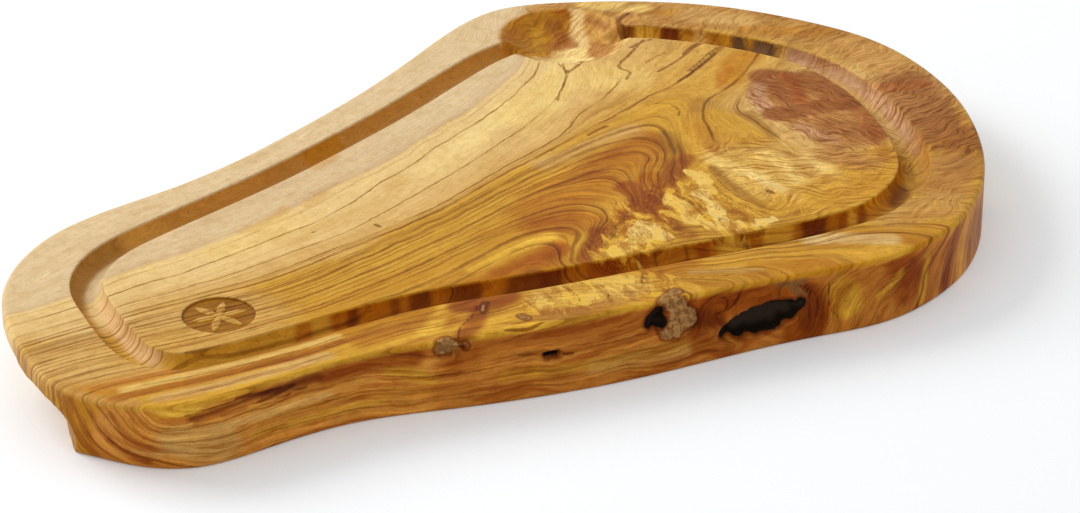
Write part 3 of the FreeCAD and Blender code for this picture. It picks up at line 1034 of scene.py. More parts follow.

# The well is cut through a dark part at its left and a pale streak in its middle, and its light and
# shade are painted in.
in_well = smooth_step(well_radius + well_margin - from_well(points[:, :2]), -1, 1) * is_top
well_wood_and_light_strokes = [
    ("tan", 1.0, 9, 2.5, [(119, 128), (119, 112), (114, 106)]),
    # Dark browns over the left side, which faces away from the window: the wood's darker part, deepened
    # with painted shade
    ("well brown", 1.0, 15, 2, [(70, 112), (84, 124), (96, 134)]),
    ("honey", 0.5, 3.5, 3, [(82, 112), (90, 126)]),
    ("orange brown", 0.45, 3.5, 2.5, [(64, 110), (72, 121), (84, 132)]),
    ("burl brown", 0.7, 4.5, 3, [(100, 129), (101, 121), (97, 117)]),
    ("burl brown", 0.8, 3.5, 2, [(101, 121), (103.5, 113)]),
    ("burl brown", 0.6, 4.0, 2.5, [(92, 117), (99, 116)]),
    ("russet", 0.6, 2.4, 1.6, [(105, 135), (109.5, 133.5)]),
    ("burl tan", 0.95, 5.5, 1.5, [(109, 105), (110, 97), (105, 89)]),
    ("burl brown", 0.6, 1.6, 1.2, [(116, 125), (119, 119), (119.5, 114)]),
    ("pale yellow", 1.0, 2.6, 1.4, [
        (114, 136), (112.4, 128.4), (108.6, 125.5), (109, 117), (106, 109),
    ]),
    # Bright cream and pale yellow along the near edge, which faces the window: a painted highlight
    ("bright cream", 1.0, 4.5, 1.2, [(90, 101), (97, 103), (102, 107)]),
    ("bright cream", 1.0, 3.5, 1.2, [(96, 98), (100, 93)]),
    ("pale yellow", 0.9, 2.4, 1.2, [(79, 104.5), (86, 104)]),
]
tone = brush(tone, well_wood_and_light_strokes, on_top, in_well)

# The burl is a knot of curled wood at the right, darker and redder than the rest.
burl_strokes = [
    ("burl tan", 0.95, 20, 2.5, [(163, 12), (166, -6), (168, -34)]),
    ("pink grey", 0.6, 4, 1.5, [(145, 0), (147, 14), (155, 23)]),
    ("pink grey", 0.5, 4, 3, [(150, -24), (156, -40)]),
    ("burl brown", 0.95, 8, 2, [(160, 30), (166, 22), (160, 6)]),
    ("burl brown", 0.9, 8, 3, [(178, 20), (180, -2)]),
    ("russet", 0.6, 3, 2, [(170, 28), (168, 10), (162, -4)]),
    ("burl brown", 0.95, 7, 1.5, [(147, -8), (166, -9), (182, -10)]),
    ("burl brown", 0.6, 7, 4, [(164, -30), (176, -44)]),
    ("russet", 0.5, 4, 2.5, [(182, -20), (178, -48), (170, -66)]),
    ("burl tan", 0.8, 8, 5, [(150, -54), (160, -66)]),
]
tone = brush(tone, burl_strokes, on_top, off_cut * high_up)

# The front wall is sawn across the growth lines, and the grain that ends in it is dark and gold.
on_wall = smooth_step(slab_top - points[:, 2], 0.8, 2.6) * (points[:, 1] < front_from) * ~is_top
wall_strokes = [
    ("wall gold", 0.9, 22, 3, [(-205, 12), (-100, 12), (0, 12), (100, 12), (160, 12), (200, 12)]),
    ("wall brown", 0.55, 22, 3, [(-60, 12), (0, 12), (100, 12), (150, 12)]),
    ("russet", 0.35, 12, 6, [(138, 15), (156, 15)]),
    ("russet", 0.75, 1.7, 0.9, [(-221, 25), (-218, 14), (-212, 6), (-202, 3.5)]),
    ("straw", 0.6, 1.4, 0.8, [(-217, 25), (-214, 15), (-208, 9), (-198, 7)]),
    ("russet", 0.7, 1.5, 0.8, [(-214.5, 26), (-212, 18), (-206, 12), (-197, 9.5), (-188, 9.5)]),
    ("russet", 0.5, 1.0, 0.6, [(-208, 25), (-205.5, 18), (-199, 14), (-186, 13.5)]),
    ("russet", 0.5, 5, 3, [(-60, 27), (-30, 26), (0, 26), (14, 26)]),
    ("straw", 0.7, 8, 4, [(-190, 15), (-172, 9)]),
    ("bright yellow", 0.8, 3.2, 1.2, [(-199, 28), (-191, 27.5), (-184, 29)]),
    ("straw", 0.6, 2.0, 1.4, [(-176, 18), (-150, 16), (-124, 17)]),
    ("straw", 0.5, 3.0, 2, [(-12, 9), (10, 10), (30, 9)]),
    ("gold", 0.6, 1.6, 1, [(-160, 9), (-130, 8), (-100, 9)]),
    ("honey", 0.5, 2.5, 1.5, [(-50, 12), (0, 10), (30, 11)]),
    ("dark red", 0.8, 1.8, 1.2, [(36, 21), (44, 18), (50, 14)]),
    ("gold", 0.8, 2.2, 1.2, [(-98, 22), (-88, 19), (-80, 15)]),
    ("russet", 0.7, 4, 3, [(-72, 21), (-62, 24)]),
    ("russet", 0.85, 4, 2.5, [(-125, 26), (-105, 28), (-88, 26)]),
    ("dark red", 0.8, 1.3, 0.8, [(-186, 24), (-168, 26), (-150, 27), (-130, 27.5)]),
    ("dark red", 0.7, 2.2, 1.4, [(-154, 25), (-142, 26), (-129, 26.5)]),
    ("russet", 0.7, 1.3, 0.8, [(-184, 21.5), (-162, 23)]),
    ("russet", 0.9, 9, 4, [(40, 22), (52, 26), (70, 27), (84, 22), (90, 12), (84, 4)]),
    ("dark red", 0.7, 4, 2, [(86, 24), (89, 16), (87, 8)]),
    ("dark red", 0.7, 4, 2, [(38, 20), (46, 19)]),
    ("russet", 0.6, 4, 2, [(36, 10), (50, 4)]),
    ("honey", 0.8, 6, 3, [(103, 20), (106, 14)]),
    ("gold", 0.6, 2, 1, [(100, 10), (106, 8), (112, 12)]),
    ("russet", 0.8, 6, 3, [(130, 27), (139, 22), (134, 12)]),
    ("gold", 0.7, 1.6, 1.0, [(120, 14), (127, 17), (132, 22)]),
    ("gold", 0.8, 1.8, 1.0, [(144.5, 4), (145.5, 14), (147, 24)]),
    ("russet", 0.7, 3.5, 2, [(160, 4), (163, 16), (168, 28)]),
    ("burl brown", 0.6, 10, 5, [(182, 15), (192, 15)]),
    ("russet", 0.7, 16, 6, [(218, 15), (230, 15)]),
    ("bark grey", 0.9, 3.2, 0.8, [(75, 30), (84, 30)]),
    ("bark grey", 0.9, 2.0, 0.8, [(80, 27), (84.5, 21)]),
]
tone = brush(tone, wall_strokes, down_front, on_wall)

# Yellow spalted blocks with a clear edge: each point keeps its distance inside the nearest one.
off_patch = -12.0  # what a point far from all of them keeps
patches = [
    ("spalted yellow", 4.5, [(24, -96), (32, -91), (40, -90)]),
    ("cream yellow", 4.0, [(37, -84), (46, -78), (47, -92)]),
    ("gold", 2.5, [(44, -68), (48, -73)]),
    ("spalted yellow", 4.5, [(66, -62), (67, -74), (66, -84)]),
    ("cream yellow", 4.0, [(80, -62), (80, -74), (76, -88)]),
    ("spalted yellow", 3.5, [(86, -44), (87, -54), (84, -62)]),
    ("spalted yellow", 4.0, [(72, -92), (80, -97)]),
    ("cream yellow", 2.5, [(88, -99), (97, -98)]),
]
patch_edge = np.full(len(points), off_patch)
patch_tone = tone.copy()
for name, half_width, line in patches:
    inside = half_width - apart_from_line(on_top(line))
    nearer = (inside > patch_edge) & is_top & (sunk < 0.5)
    patch_edge[nearer] = inside[nearer]
    patch_tone[nearer] = light_value(wood_colours[name])


off_edge = -9.0  # what a point far from every mark keeps


def inside_marks(marks, place):
    """How far inside the nearest of these marks each point is. A mark has a half width and a line."""
    inside = np.full(len(points), off_edge)
    for half_width, line in marks:
        inside = np.maximum(inside, half_width - apart_from_line(place(line)))
    return inside


# Dark veins, thin and crisp, where the tree's own minerals dried in the wood
top_veins = [
    (0.8, [(118, 55), (132, 62), (140, 68)]),
    (1.5, [(138, 67), (144, 72), (150, 74.5)]),
    (0.6, [(117, 66), (124, 70), (130, 72)]),
    (0.8, [(118, 84), (124, 87), (131, 88)]),
    (0.7, [(131, 50), (140, 56), (147, 62), (155, 67)]),
    (0.8, [(122, 42), (136, 50), (152, 62)]),
    (0.8, [(101, 54), (107, 60), (102.5, 66), (107, 72), (113, 76), (127, 89)]),
    (0.6, [(63, 47), (67, 53), (71, 59)]),
    (0.7, [(71, 59), (76, 66), (80, 72), (80, 82)]),
    (0.5, [(58, 22), (61, 27), (63, 30)]),
    (0.9, [(80, 72), (88, 77), (95, 83)]),
    (0.6, [(101, 26), (107, 24), (109, 16), (106, 10)]),
    (0.9, [(60, 9), (66, 12), (72, 14)]),
    (0.7, [(-87, -25.5), (-86, -25.5)]),
    (0.9, [(-60, -30), (-59, -33)]),
    (1.3, [(107.5, -73), (108.5, -76)]),
    (0.6, [(-68, -136), (-64, -128), (-56, -123), (-50, -115)]),
    (0.5, [(70, -60), (72, -72), (71, -86), (76, -96)]),
    (0.5, [(89, -58), (88, -70), (92, -82), (98, -94)]),
    (0.5, [(93, -50), (92, -64), (94, -78), (102, -92)]),
    (0.4, [(20, -120), (36, -129), (52, -134), (60, -135)]),
    (0.4, [(150, -104), (158, -106), (166, -108), (176, -116), (182, -122)]),
    (0.4, [(136, -116), (146, -124), (160, -128)]),
    (0.5, [(-11, -114), (-8, -122), (-10, -130)]),
    (0.5, [(3, -116), (5, -124), (2, -132)]),
    (0.5, [(24, -118), (20, -126)]),
    (1.2, [(134, 119), (125, 113), (124, 104), (129, 94)]),
    (1.6, [(125, 108), (125, 100), (132, 95)]),
    (0.8, [(-48, -138), (-38, -141), (-30, -138)]),
]
wall_veins = [
    (0.6, [(-188, 26), (-175, 27.5), (-160, 28.5)]),
    (0.9, [(-166, 28.5), (-152, 27), (-140, 26)]),
    (0.7, [(-152, 25.5), (-134, 23)]),
    (0.6, [(-160, 24), (-142, 22)]),
    (0.8, [(-44, 20), (-30, 18.5), (-20, 16.5)]),
    (0.8, [(45, 21), (53, 22.5), (56, 28)]),
    (0.6, [(48, 28), (51, 25), (49, 22)]),
    (0.6, [(86, 26), (92, 20), (91, 10)]),
    (0.6, [(82, 27), (88, 23), (88, 10)]),
    (0.5, [(97, 25), (96, 15), (101, 8)]),
]
vein_edge = np.maximum(inside_marks(top_veins, on_top), inside_marks(wall_veins, down_front))

# Bark that the tree grew over: two knots and a chip at the front edge, dry and pitted, left as it was
# when the rest was sanded
bark_on_top = [
    (2.0, [(-75, -138), (-73, -135)]),
    (0.7, [(-50, -120), (-46, -114)]),
    (1.4, [(-37, -130), (-36, -133)]),
    (2.4, [(22, -143), (30, -138)]),
]
bark_on_wall = [
    (2.2, [(-76.5, 28), (-70, 28)]),
    (3.0, [(-75, 30.5), (-72, 29)]),
    (1.5, [(-67.5, 27.5), (-66, 28)]),
]
bark_in_hollows = [
    (3.6, [(23, 30), (28, 28)]),
    (5.0, [(27, 21), (31, 22)]),
    (3.4, [(22, 18), (26, 17.5)]),
]
bark_edge = np.maximum(inside_marks(bark_on_top, on_top), inside_marks(bark_on_wall, down_front))
bark_edge = np.maximum(bark_edge, inside_marks(bark_in_hollows, into_front))

# Rot has eaten into the hollows, and no tool has been in there since. The marks paint the rotten wood
# black, and with it the shade deep in the hollows and holes.
rot_and_shade_marks = [
    (2.4, [(49, 10.5), (54, 11.5)]),
    (5.6, [(57, 12), (63, 13.3)]),
    (6.8, [(64, 13.5), (71, 14.6)]),
    (5.0, [(73, 15), (78, 16)]),
    (2.8, [(79, 16), (83.5, 18)]),
    (1.3, [(-31.5, 17.5), (-27, 17.2)]),
    (3.4, [(16, 24), (18.5, 26)]),
    (2.6, [(14.5, 23), (20, 22)]),
    (0.6, [(-67.0, 28), (-66.4, 27.4)]),
]
rot_and_shade_edge = inside_marks(rot_and_shade_marks, into_front)


def cover_of(half_width, softness, line):
    """How much a soft mark on the top covers each point."""
    return stroke_strength(on_top(line), half_width, softness) * high_up


def widest(marks):
    """The most that any of these marks covers each point: strength, half width, softness and line."""
    best = np.zeros(len(points))
    for strength, half_width, softness, line in marks:
        best = np.maximum(best, cover_of(half_width, softness, line) * strength)
    return best


# Where the grain is curled, fanned, crackled, crinkled, full of lines, plain or red, each from 0 to 1
burl = cover_of(24, 4, [(165, 6), (168, -34)])
fan = cover_of(28, 8, [(126, -50), (150, -70), (150, -84)]) * (1 - burl)
curled = [
    (1.0, 26, 5, [(165, 6), (168, -30), (166, -52)]),
    (0.9, 22, 6, [(112, -40), (120, -68)]),
    (0.7, 22, 6, [(150, -76), (120, -84)]),
    (1.0, 18, 5, [(216, -2), (208, -62)]),
    (0.6, 20, 6, [(104, 134), (150, 108), (190, 80), (214, 30)]),
    (0.6, 14, 5, [(180, -98), (160, -118)]),
]
curl = np.maximum(widest(curled), in_well * 0.6)
spalted = [
    (1.0, 15, 4, [(26, -92), (48, -82), (50, -72)]),
    (1.0, 15, 4, [(72, -60), (80, -92)]),
    (0.8, 12, 3, [(-22, -124), (24, -126)]),
]
spalt = widest(spalted)
crinkled_wall = smooth_step(points[:, 0], 30, 60) * smooth_step(-points[:, 0], -180, -130)
crinkle = np.maximum(cover_of(45, 20, [(130, -60), (170, -50)]) * (1 - burl) * 0.35, spalt * 0.8)
crinkle = np.maximum(crinkle, cover_of(24, 8, [(120, 130), (190, 84), (222, 20), (214, -60)]) * 0.5)
crinkle = np.maximum(crinkle, in_well * 0.5)
crinkle = np.maximum(crinkle, 0.35 * on_wall * crinkled_wall)

busy_stops = [-84, -60, 5, 10, 20, 46, 52, 100, 140]
busy_values = [0.6, 0.12, 0.14, 0.22, 0.1, 0.12, 0.9, 1.0, 0.9]
busier = [
    (0.45, 30, 12, [(-220, -75), (-130, -70)]),
    (0.7, 26, 10, [(112, 0), (126, 24), (150, 36)]),
]
calmer = [
    (0.35, 24, 12, [(-226, -92), (-196, -108)]),
    (0.6, 34, 10, [(150, -40), (160, -80), (120, -60)]),
    (0.8, 15, 6, [(110, 44), (128, 56)]),
    (0.7, 20, 8, [(146, -104), (178, -112)]),
]
busy = np.maximum(np.interp(growth_distance, busy_stops, busy_values), on_wall * 0.75)
busy = np.maximum(busy, widest(busier))
for share, half_width, softness, line in calmer:
    busy = busy * (1 - share * cover_of(half_width, softness, line))
busy = busy * (1 - 0.6 * spalt) * (1 - 0.95 * burl)
busy = busy * (1 - 0.6 * in_cut * (points[:, 0] < -150)) * (1 - 0.8 * in_well)
plain = np.maximum(np.minimum(curl * 1.4, 0.9), cover_of(12, 5, [(110, 58), (124, 86)]))
reddened = [
    (0.7, 26, 12, [(20, -70), (50, -30), (84, -24)]),
    (0.5, 16, 8, [(-200, -124), (-100, -124), (0, -128), (120, -136)]),
]
red = np.maximum(on_wall * 0.9, widest(reddened))


def keep_on_skin(name, values):
    """Keeps a value, or a colour, at each point of the skin for the wood's shader."""
    if values.ndim == 1:
        layer = skin.attributes.new(name, "FLOAT", "POINT")
        layer.data.foreach_set("value", values.astype(np.float32))
    else:
        layer = skin.attributes.new(name, "FLOAT_COLOR", "POINT")
        full = np.column_stack([values, np.ones(len(values))]).astype(np.float32)
        layer.data.foreach_set("color", full.ravel())


for name, values in {
    "growth": growth_distance,
    "slope": growth_slope,
    "tone": tone,
    "patch_edge": patch_edge,
    "patch_tone": patch_tone,
    "vein_edge": vein_edge,
    "bark_edge": bark_edge,
    "rot_and_shade_edge": rot_and_shade_edge,
    "curl": curl,
    "burl": burl,
    "fan": fan,
    "spalt": spalt,
    "crinkle": crinkle,
    "busy": busy,
    "red": red,
    "plain": plain,
    "petal": np.where(is_top, petal_inside(points[:, :2]), off_edge),
}.items():
    keep_on_skin(name, values)

# The finish. The wood is sanded fine and rubbed with oil, which brings up its figure and leaves it
# satin. The bark and the rot have drunk none and stay dry.
olive_wood = bpy.data.materials.new("olive_wood")
olive_wood.use_nodes = True
tree = olive_wood.node_tree
tree.nodes.clear()


def add(kind, **settings):
    """A new node of the tree in hand."""
    made = tree.nodes.new(kind)
    for name, value in settings.items():
        setattr(made, name, value)
    return made


def feed(socket, value):
    """Links the socket to another, or sets it."""
    if isinstance(value, bpy.types.NodeSocket):
        tree.links.new(value, socket)
    else:
        socket.default_value = value


def calc(operation, *values):
    made = add("ShaderNodeMath", operation=operation)
    for socket, value in zip(made.inputs, values):
        feed(socket, value)
    return made.outputs[0]


def times(*values):
    result = values[0]
    for value in values[1:]:
        result = calc("MULTIPLY", result, value)
    return result


def plus(*values):
    result = values[0]
    for value in values[1:]:
        result = calc("ADD", result, value)
    return result


def kept(name):
    """What the skin keeps under this name."""
    return add("ShaderNodeAttribute", attribute_name=name).outputs["Fac"]


def ease(value, start, end, low=0.0, high=1.0):
    made = add("ShaderNodeMapRange", interpolation_type="SMOOTHSTEP")
    for socket, number in zip(made.inputs, (value, start, end, low, high)):
        feed(socket, number)
    return made.outputs[0]


def place_of(x, y, z):
    made = add("ShaderNodeCombineXYZ")
    for socket, value in zip(made.inputs, (x, y, z)):
        feed(socket, value)
    return made.outputs[0]


def mottle(vector, scale=1.0, detail=2.0, rough=0.5, distortion=0.0):
    made = add("ShaderNodeTexNoise")
    settings = {"Vector": vector, "Scale": scale, "Detail": detail}
    settings |= {"Roughness": rough, "Distortion": distortion}
    for name, value in settings.items():
        feed(made.inputs[name], value)
    return made.outputs["Fac"]


# A Mix node lists its sockets once for each kind of data, so the colour ones are found by number.
def blend(kind, share, below, above):
    made = add("ShaderNodeMix", data_type="RGBA", blend_type=kind)
    feed(made.inputs[0], share)
    feed(made.inputs[6], below)
    feed(made.inputs[7], above)
    return made.outputs[2]


def tinted(share, wood, tint):
    """Darker or lighter by the tint: red, green and blue, each as a share of the wood's own."""
    return blend("MULTIPLY", share, wood, (*tint, 1.0))


def either_way(noise):
    """The noise moved to lie round zero."""
    return calc("SUBTRACT", noise, 0.5)


def shade(name, depth=1.0):
    return (*(light_value(wood_colours[name]) * depth), 1.0)


where = add("ShaderNodeTexCoord").outputs["Object"]
parts = add("ShaderNodeSeparateXYZ")
feed(parts.inputs[0], where)
x, y, z = parts.outputs
busy_socket = kept("busy")
curl_socket = kept("curl")
spalt_socket = kept("spalt")
slope_socket = kept("slope")
smooth_growth = kept("growth")


def along_grain(growth, per_mm, along_mm, shift=0.0):
    """A place for noise that is drawn out along the growth lines.

    It takes per_mm steps for each mm across them, and along_mm for one step along them.
    """
    along = 1 / (along_mm * metres)
    return place_of(
        calc("MULTIPLY_ADD", growth, per_mm, shift),
        times(x, along),
        times(calc("ADD", y, z), along),
    )


# The growth lines are never quite smooth, and where the grain is curled they crinkle
unevenness = either_way(mottle(along_grain(smooth_growth, 0.5, 5, 40.0), detail=3.0, rough=0.65))
crinkles = either_way(mottle(where, scale=120, detail=3.0, rough=0.55))
steady = calc("MINIMUM", slope_socket, 1.2)
unsteady = plus(times(unevenness, 1.6), times(crinkles, kept("crinkle"), 12.0))
growth_socket = plus(smooth_growth, times(unsteady, steady))

fibres = mottle(along_grain(growth_socket, 2.6, 14, 1.0), detail=2.0, rough=0.7)
pores = mottle(along_grain(growth_socket, 3.6, 2.2, 2.0), detail=1.0)
cloud = mottle(along_grain(growth_socket, 0.12, 26, 6.0), detail=3.0)

wood = add("ShaderNodeAttribute", attribute_name="tone").outputs["Color"]
wood = tinted(ease(cloud, 0.45, 0.75, 0.0, 0.5), wood, (0.88, 0.79, 0.6))
wood = tinted(ease(cloud, 0.45, 0.2), wood, (1.12, 1.12, 1.1))
shimmer = mottle(along_grain(smooth_growth, 0.03, 4.5, 11.0), detail=2.0)
wood = tinted(ease(shimmer, 0.45, 0.7, 0.0, 0.6), wood, (0.88, 0.84, 0.74))


# Each year's growth darkens slowly and ends sharply
def year_lines(pitch, sway, seed, sharpness):
    """How dark each year's line is: years of this pitch in mm, swaying by up to this much."""
    wander = mottle(along_grain(smooth_growth, 0.3 / pitch, 70, seed), detail=2.0)
    swayed = calc("MULTIPLY_ADD", either_way(wander), sway, growth_socket)
    year = times(swayed, 1 / pitch)
    part = calc("FRACT", year)
    chance = add("ShaderNodeTexWhiteNoise", noise_dimensions="1D")
    feed(chance.inputs["W"], calc("ADD", calc("FLOOR", year), seed))
    dark = times(calc("POWER", part, sharpness), ease(part, 1.0, 0.95))
    patchy = mottle(along_grain(growth_socket, 0.5 / pitch, 22, seed + 20), detail=2.0)
    strength = times(ease(chance.outputs["Value"], 0.0, 0.9), ease(patchy, 0.3, 0.55, 0.3, 1.0))
    return times(dark, strength)


broad_years = year_lines(8.5, 16.0, 3.0, 1.6)
years = year_lines(3.3, 7.0, 31.0, 4.0)
fine_years = year_lines(1.3, 3.0, 57.0, 2.5)
wood = tinted(times(broad_years, busy_socket, 0.8), wood, (0.7, 0.54, 0.26))
wood = tinted(times(years, busy_socket, 1.25), wood, (0.44, 0.3, 0.12))
fine_share = calc("MULTIPLY_ADD", busy_socket, 0.65, 0.05)
wood = tinted(times(fine_years, fine_share), wood, (0.6, 0.48, 0.28))

# Red streaks, most of all down the front wall
streaks = mottle(along_grain(growth_socket, 0.42, 34, 15.0), detail=3.0, rough=0.6)
wood = tinted(times(ease(streaks, 0.48, 0.62), kept("red"), 0.9), wood, (0.66, 0.42, 0.24))
wood = tinted(times(ease(streaks, 0.44, 0.34), kept("red"), 0.9), wood, (1.3, 1.28, 1.2))

# The growth lines that stand out: growth distance, half width in mm, strength
strong_lines = [
    (12, 0.4, 0.4),
    (22, 0.4, 0.9),
    (38, 0.4, 0.8),
    (47.5, 0.45, 0.9),
    (51.5, 0.7, 0.9),
    (57, 0.5, 0.5),
    (60, 1.1, 0.6),
    (65, 0.8, 0.6),
    (69, 0.7, 0.6),
    (72, 0.5, 0.7),
    (77, 0.7, 0.8),
    (81, 0.4, 0.6),
    (85, 0.4, 0.7),
    (89, 0.5, 0.7),
    (94, 0.5, 0.6),
    (100, 1.0, 0.7),
    (106, 0.5, 0.5),
    (115, 0.45, 0.5),
    (120.5, 0.45, 0.5),
    (126, 0.45, 0.5),
    (133, 0.45, 0.5),
]
ink = 0.0
for value, half_width, strength in strong_lines:
    off = calc("DIVIDE", calc("ABSOLUTE", calc("SUBTRACT", growth_socket, value)), slope_socket)
    ink = calc("MAXIMUM", ink, ease(off, half_width * 1.5, half_width * 0.5, 0.0, strength))
patchy = mottle(along_grain(smooth_growth, 0.2, 24, 9.0), detail=2.0)
clear = calc("SUBTRACT", 1.0, calc("MAXIMUM", times(spalt_socket, 0.6), kept("plain")))
wood = tinted(times(ink, ease(patchy, 0.3, 0.55, 0.3, 1.0), clear), wood, (0.42, 0.29, 0.1))

# Yellow spalted blocks, then the crackled figure round them
rough_edge = mottle(place_of(times(x, 170), times(y, 90), z), detail=3.0, rough=0.55)
edge = calc("MULTIPLY_ADD", either_way(rough_edge), 11.0, kept("patch_edge"))
patch_tone_socket = add("ShaderNodeAttribute", attribute_name="patch_tone").outputs["Color"]
wood = blend("MIX", times(ease(edge, -0.6, 0.8), 0.85), wood, patch_tone_socket)
drawn_out = place_of(times(x, 190), times(y, 75), times(z, 90))
crackle = mottle(drawn_out, detail=3.0, rough=0.6, distortion=0.7)
wood = tinted(times(ease(crackle, 0.5, 0.6), spalt_socket, 0.85), wood, (0.55, 0.32, 0.08))
wood = blend("MIX", times(ease(crackle, 0.45, 0.38), spalt_socket, 0.6), wood, shade("bright yellow"))
crack = ease(calc("ABSOLUTE", either_way(crackle)), 0.022, 0.004)
wood = tinted(times(crack, spalt_socket, 0.7), wood, (0.4, 0.2, 0.05))

# Curled grain shows as short silky ripples, one way in the burl and another round it
def rippled(lean, long_mm, short_mm, seed):
    """Noise drawn out along a direction, lean degrees round from the length."""
    away = math.radians(lean)
    wave = times(either_way(mottle(where, scale=45, detail=2.0)), 0.022)
    along = plus(times(x, math.cos(away)), times(y, math.sin(away)))
    across = plus(times(x, -math.sin(away)), times(y, math.cos(away)), wave)
    drawn_out = place_of(times(along, 1 / long_mm / metres), times(across, 1 / short_mm / metres), seed)
    return mottle(drawn_out, detail=4.0, rough=0.62)


burl_socket = kept("burl")
ripples_round_it = rippled(24, 16, 1.7, 1.0)
ripples = calc("SUBTRACT", rippled(-64, 11, 1.2, 5.0), ripples_round_it)
ripples = calc("MULTIPLY_ADD", ripples, burl_socket, ripples_round_it)
ripples_fanned = calc("SUBTRACT", rippled(-24, 15, 1.9, 9.0), ripples)
ripples = calc("MULTIPLY_ADD", ripples_fanned, kept("fan"), ripples)
wood = tinted(times(ease(ripples, 0.48, 0.62), curl_socket), wood, (0.6, 0.4, 0.2))
wood = tinted(times(ease(ripples, 0.48, 0.36), curl_socket, 0.9), wood, (1.4, 1.4, 1.5))

wood = tinted(ease(fibres, 0.35, 0.75, 0.0, 0.5), wood, (0.8, 0.7, 0.52))
wood = tinted(ease(fibres, 0.5, 0.25), wood, (1.14, 1.14, 1.12))
wood = tinted(ease(pores, 0.6, 0.72, 0.0, 0.5), wood, (0.6, 0.44, 0.24))

# Dark veins
vein_noise = mottle(where, scale=260, detail=2.0)
vein = calc("MULTIPLY_ADD", either_way(vein_noise), 0.7, kept("vein_edge"))
wood = tinted(times(ease(vein, -0.3, 0.4), 0.85), wood, (0.36, 0.21, 0.07))

# The recess floor is scorched, and its rosette stands out pale
blur = 0.1
to_recess = add("ShaderNodeVectorMath", operation="DISTANCE")
feed(to_recess.inputs[0], place_of(x, y, 0.0))
feed(to_recess.inputs[1], (*(recess_middle * metres), 0))
from_middle = to_recess.outputs["Value"]
in_recess = ease(from_middle, (recess_radius + blur) * metres, (recess_radius - blur) * metres)
near_top = ease(z, (slab_top - 3) * metres, (slab_top - 2) * metres)
scorched = times(in_recess, near_top, ease(kept("petal"), 0.15, -0.35))
wood = tinted(times(scorched, 0.9), wood, (0.52, 0.38, 0.24))
# A dark line is painted round the recess's rim
off_rim = calc("ABSOLUTE", calc("SUBTRACT", from_middle, recess_radius * metres))
dark_rim_line = ease(off_rim, 0.45 * metres, 0.1 * metres)
wood = tinted(times(dark_rim_line, near_top, 0.8), wood, (0.5, 0.34, 0.14))

# Bark is dry, beige and brown, and pitted
bark_noise = mottle(where, scale=420, detail=4.0, rough=0.65)
bark_pits = mottle(where, scale=900, detail=2.0)
bark_inside = calc("MULTIPLY_ADD", either_way(bark_noise), 3.0, kept("bark_edge"))
bark_cover = ease(bark_inside, -0.4, 0.5)
bark_colour = blend("MIX", ease(bark_noise, 0.4, 0.62), shade("bark grey"), shade("bark beige"))
bark_colour = tinted(times(ease(bark_pits, 0.58, 0.68), 0.6), bark_colour, (0.3, 0.18, 0.1))
wood = tinted(times(ease(calc("ABSOLUTE", bark_inside), 2.0, 0.4), 0.85), wood, (0.36, 0.18, 0.06))
wood = blend("MIX", times(bark_cover, 0.95), wood, bark_colour)

# Hollows are painted black, partly for the rotten wood in them and partly as painted shade, blackest
# near their edges, and dark red round their rims
rot_noise = mottle(where, scale=200, detail=2.0, rough=0.6)
rot_and_shade_inside = calc("MULTIPLY_ADD", either_way(rot_noise), 1.6, kept("rot_and_shade_edge"))
wood = blend("MIX", ease(rot_and_shade_inside, -1.8, 0.0, 0.0, 0.85), wood, shade("dark red"))
rot_and_shade_colour = blend("MIX", ease(rot_and_shade_inside, 1.0, 4.0), shade("hollow black", 0.6), shade("dusty black"))
rot_and_shade_cover = ease(rot_and_shade_inside, -0.2, 0.35)
wood = blend("MIX", rot_and_shade_cover, wood, rot_and_shade_colour)

finish = add("ShaderNodeBsdfPrincipled")
feed(finish.inputs["Base Color"], wood)
dry = calc("MAXIMUM", bark_cover, rot_and_shade_cover)
oiled_roughness = ease(fibres, 0.3, 0.7, 0.34, 0.5)
feed(finish.inputs["Roughness"], calc("MAXIMUM", oiled_roughness, times(dry, 0.9)))
finish.inputs["Specular IOR Level"].default_value = 0.08
finish.inputs["Specular Tint"].default_value = (1.0, 0.8, 0.5, 1.0)
bump = add("ShaderNodeBump")
bump.inputs["Distance"].default_value = 0.0003
bump.inputs["Strength"].default_value = 0.6
pitted = plus(times(bark_noise, 3.0), times(bark_pits, -2.0))
relief = plus(times(fibres, 0.6), times(ripples, curl_socket, 0.8), times(dry, pitted))
feed(bump.inputs["Height"], relief)
feed(finish.inputs["Normal"], bump.outputs[0])
feed(add("ShaderNodeOutputMaterial").inputs["Surface"], finish.outputs[0])
skin.materials.append(olive_wood)

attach(board, "root")
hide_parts("serving_board")

# The board lies on a plain white table, which keeps its shadow.
floor_half = 8.0
floor_white = (0.785, 0.8, 0.812, 1)
floor_glow = 0.15  # as the camera sees it, and as gloss shows it

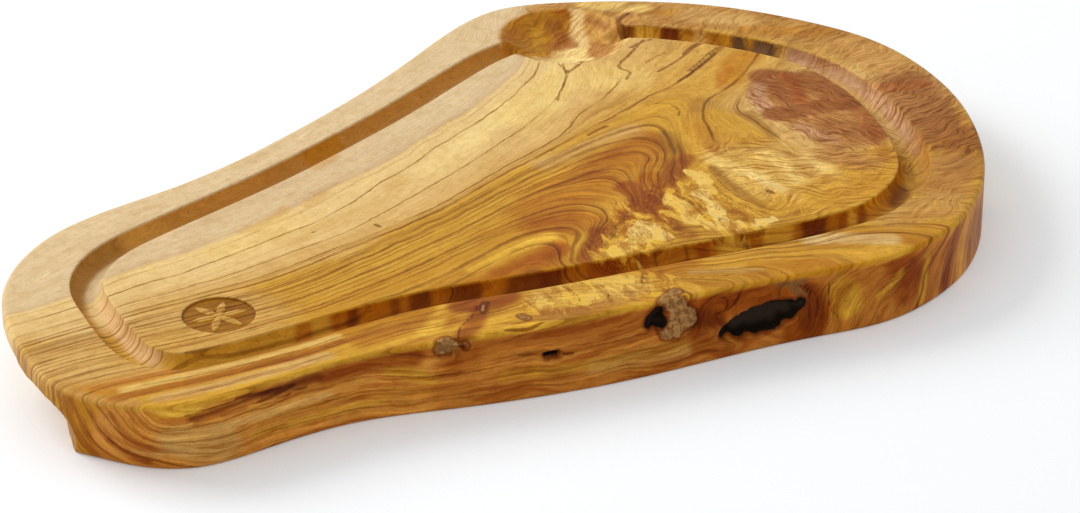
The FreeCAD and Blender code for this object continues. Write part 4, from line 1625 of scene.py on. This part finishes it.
corners = [(-floor_half, -floor_half), (floor_half, -floor_half), (floor_half, floor_half)]
corners.append((-floor_half, floor_half))
floor_mesh = bpy.data.meshes.new("floor")
floor_mesh.from_pydata([(*corner, 0) for corner in corners], [], [(0, 1, 2, 3)])
floor = bpy.data.objects.new("floor", floor_mesh)
bpy.context.collection.objects.link(floor)
table_white = bpy.data.materials.new("table_white")
table_white.use_nodes = True
tree = table_white.node_tree
tree.nodes.clear()
matt = add("ShaderNodeBsdfDiffuse")
matt.inputs["Color"].default_value = floor_white
glow = add("ShaderNodeEmission")
path = add("ShaderNodeLightPath")
seen = calc("MAXIMUM", path.outputs["Is Camera Ray"], path.outputs["Is Glossy Ray"])
seen = calc("MAXIMUM", seen, path.outputs["Is Transmission Ray"])
feed(glow.inputs["Strength"], times(seen, floor_glow))
both = add("ShaderNodeAddShader")
feed(both.inputs[0], matt.outputs[0])
feed(both.inputs[1], glow.outputs[0])
feed(add("ShaderNodeOutputMaterial").inputs["Surface"], both.outputs[0])
floor_mesh.materials.append(table_white)

# Soft daylight from a window at the back left, in an even white room.
room_light = 0.77
room_seen = 1.0  # white, as the camera sees it
window_width = 1.1
window_height = 0.9
window_watts = 22
window_place = (-0.9, 1.12, 1.02)

world = bpy.data.worlds.new("room")
bpy.context.scene.world = world
world.use_nodes = True
tree = world.node_tree
tree.nodes.clear()
path = add("ShaderNodeLightPath")
room = add("ShaderNodeBackground")
room.inputs["Color"].default_value = (1, 1, 1, 1)
feed(room.inputs["Strength"], ease(path.outputs["Is Camera Ray"], 0, 1, room_light, room_seen))
feed(add("ShaderNodeOutputWorld").inputs["Surface"], room.outputs[0])

window = bpy.data.lights.new("window", "AREA")
window.shape = "RECTANGLE"
window.size = window_width
window.size_y = window_height
window.energy = window_watts
window_lamp = bpy.data.objects.new("window", window)
bpy.context.collection.objects.link(window_lamp)
window_lamp.location = window_place
aim = -window_lamp.location
window_lamp.rotation_euler = aim.to_track_quat("-Z", "Y").to_euler()

# The camera stands in front and to the left, looking down at the board.
photo_width = 1080
focal_length = 4000  # in the photograph's pixels
sensor_width = 36.0
camera_place = (-0.638145, -1.437349, 0.826909)
camera_tilt = 61.9  # degrees up from looking straight down
camera_turn = -25.0

camera_data = bpy.data.cameras.new("camera")
camera_data.sensor_width = sensor_width
camera_data.lens = sensor_width * focal_length / photo_width
camera_data.clip_end = 50
camera = bpy.data.objects.new("camera", camera_data)
bpy.context.collection.objects.link(camera)
camera.location = camera_place
camera.rotation_euler = (math.radians(camera_tilt), 0, math.radians(camera_turn))
bpy.context.scene.camera = camera

bpy.context.scene.view_settings.view_transform = "Standard"
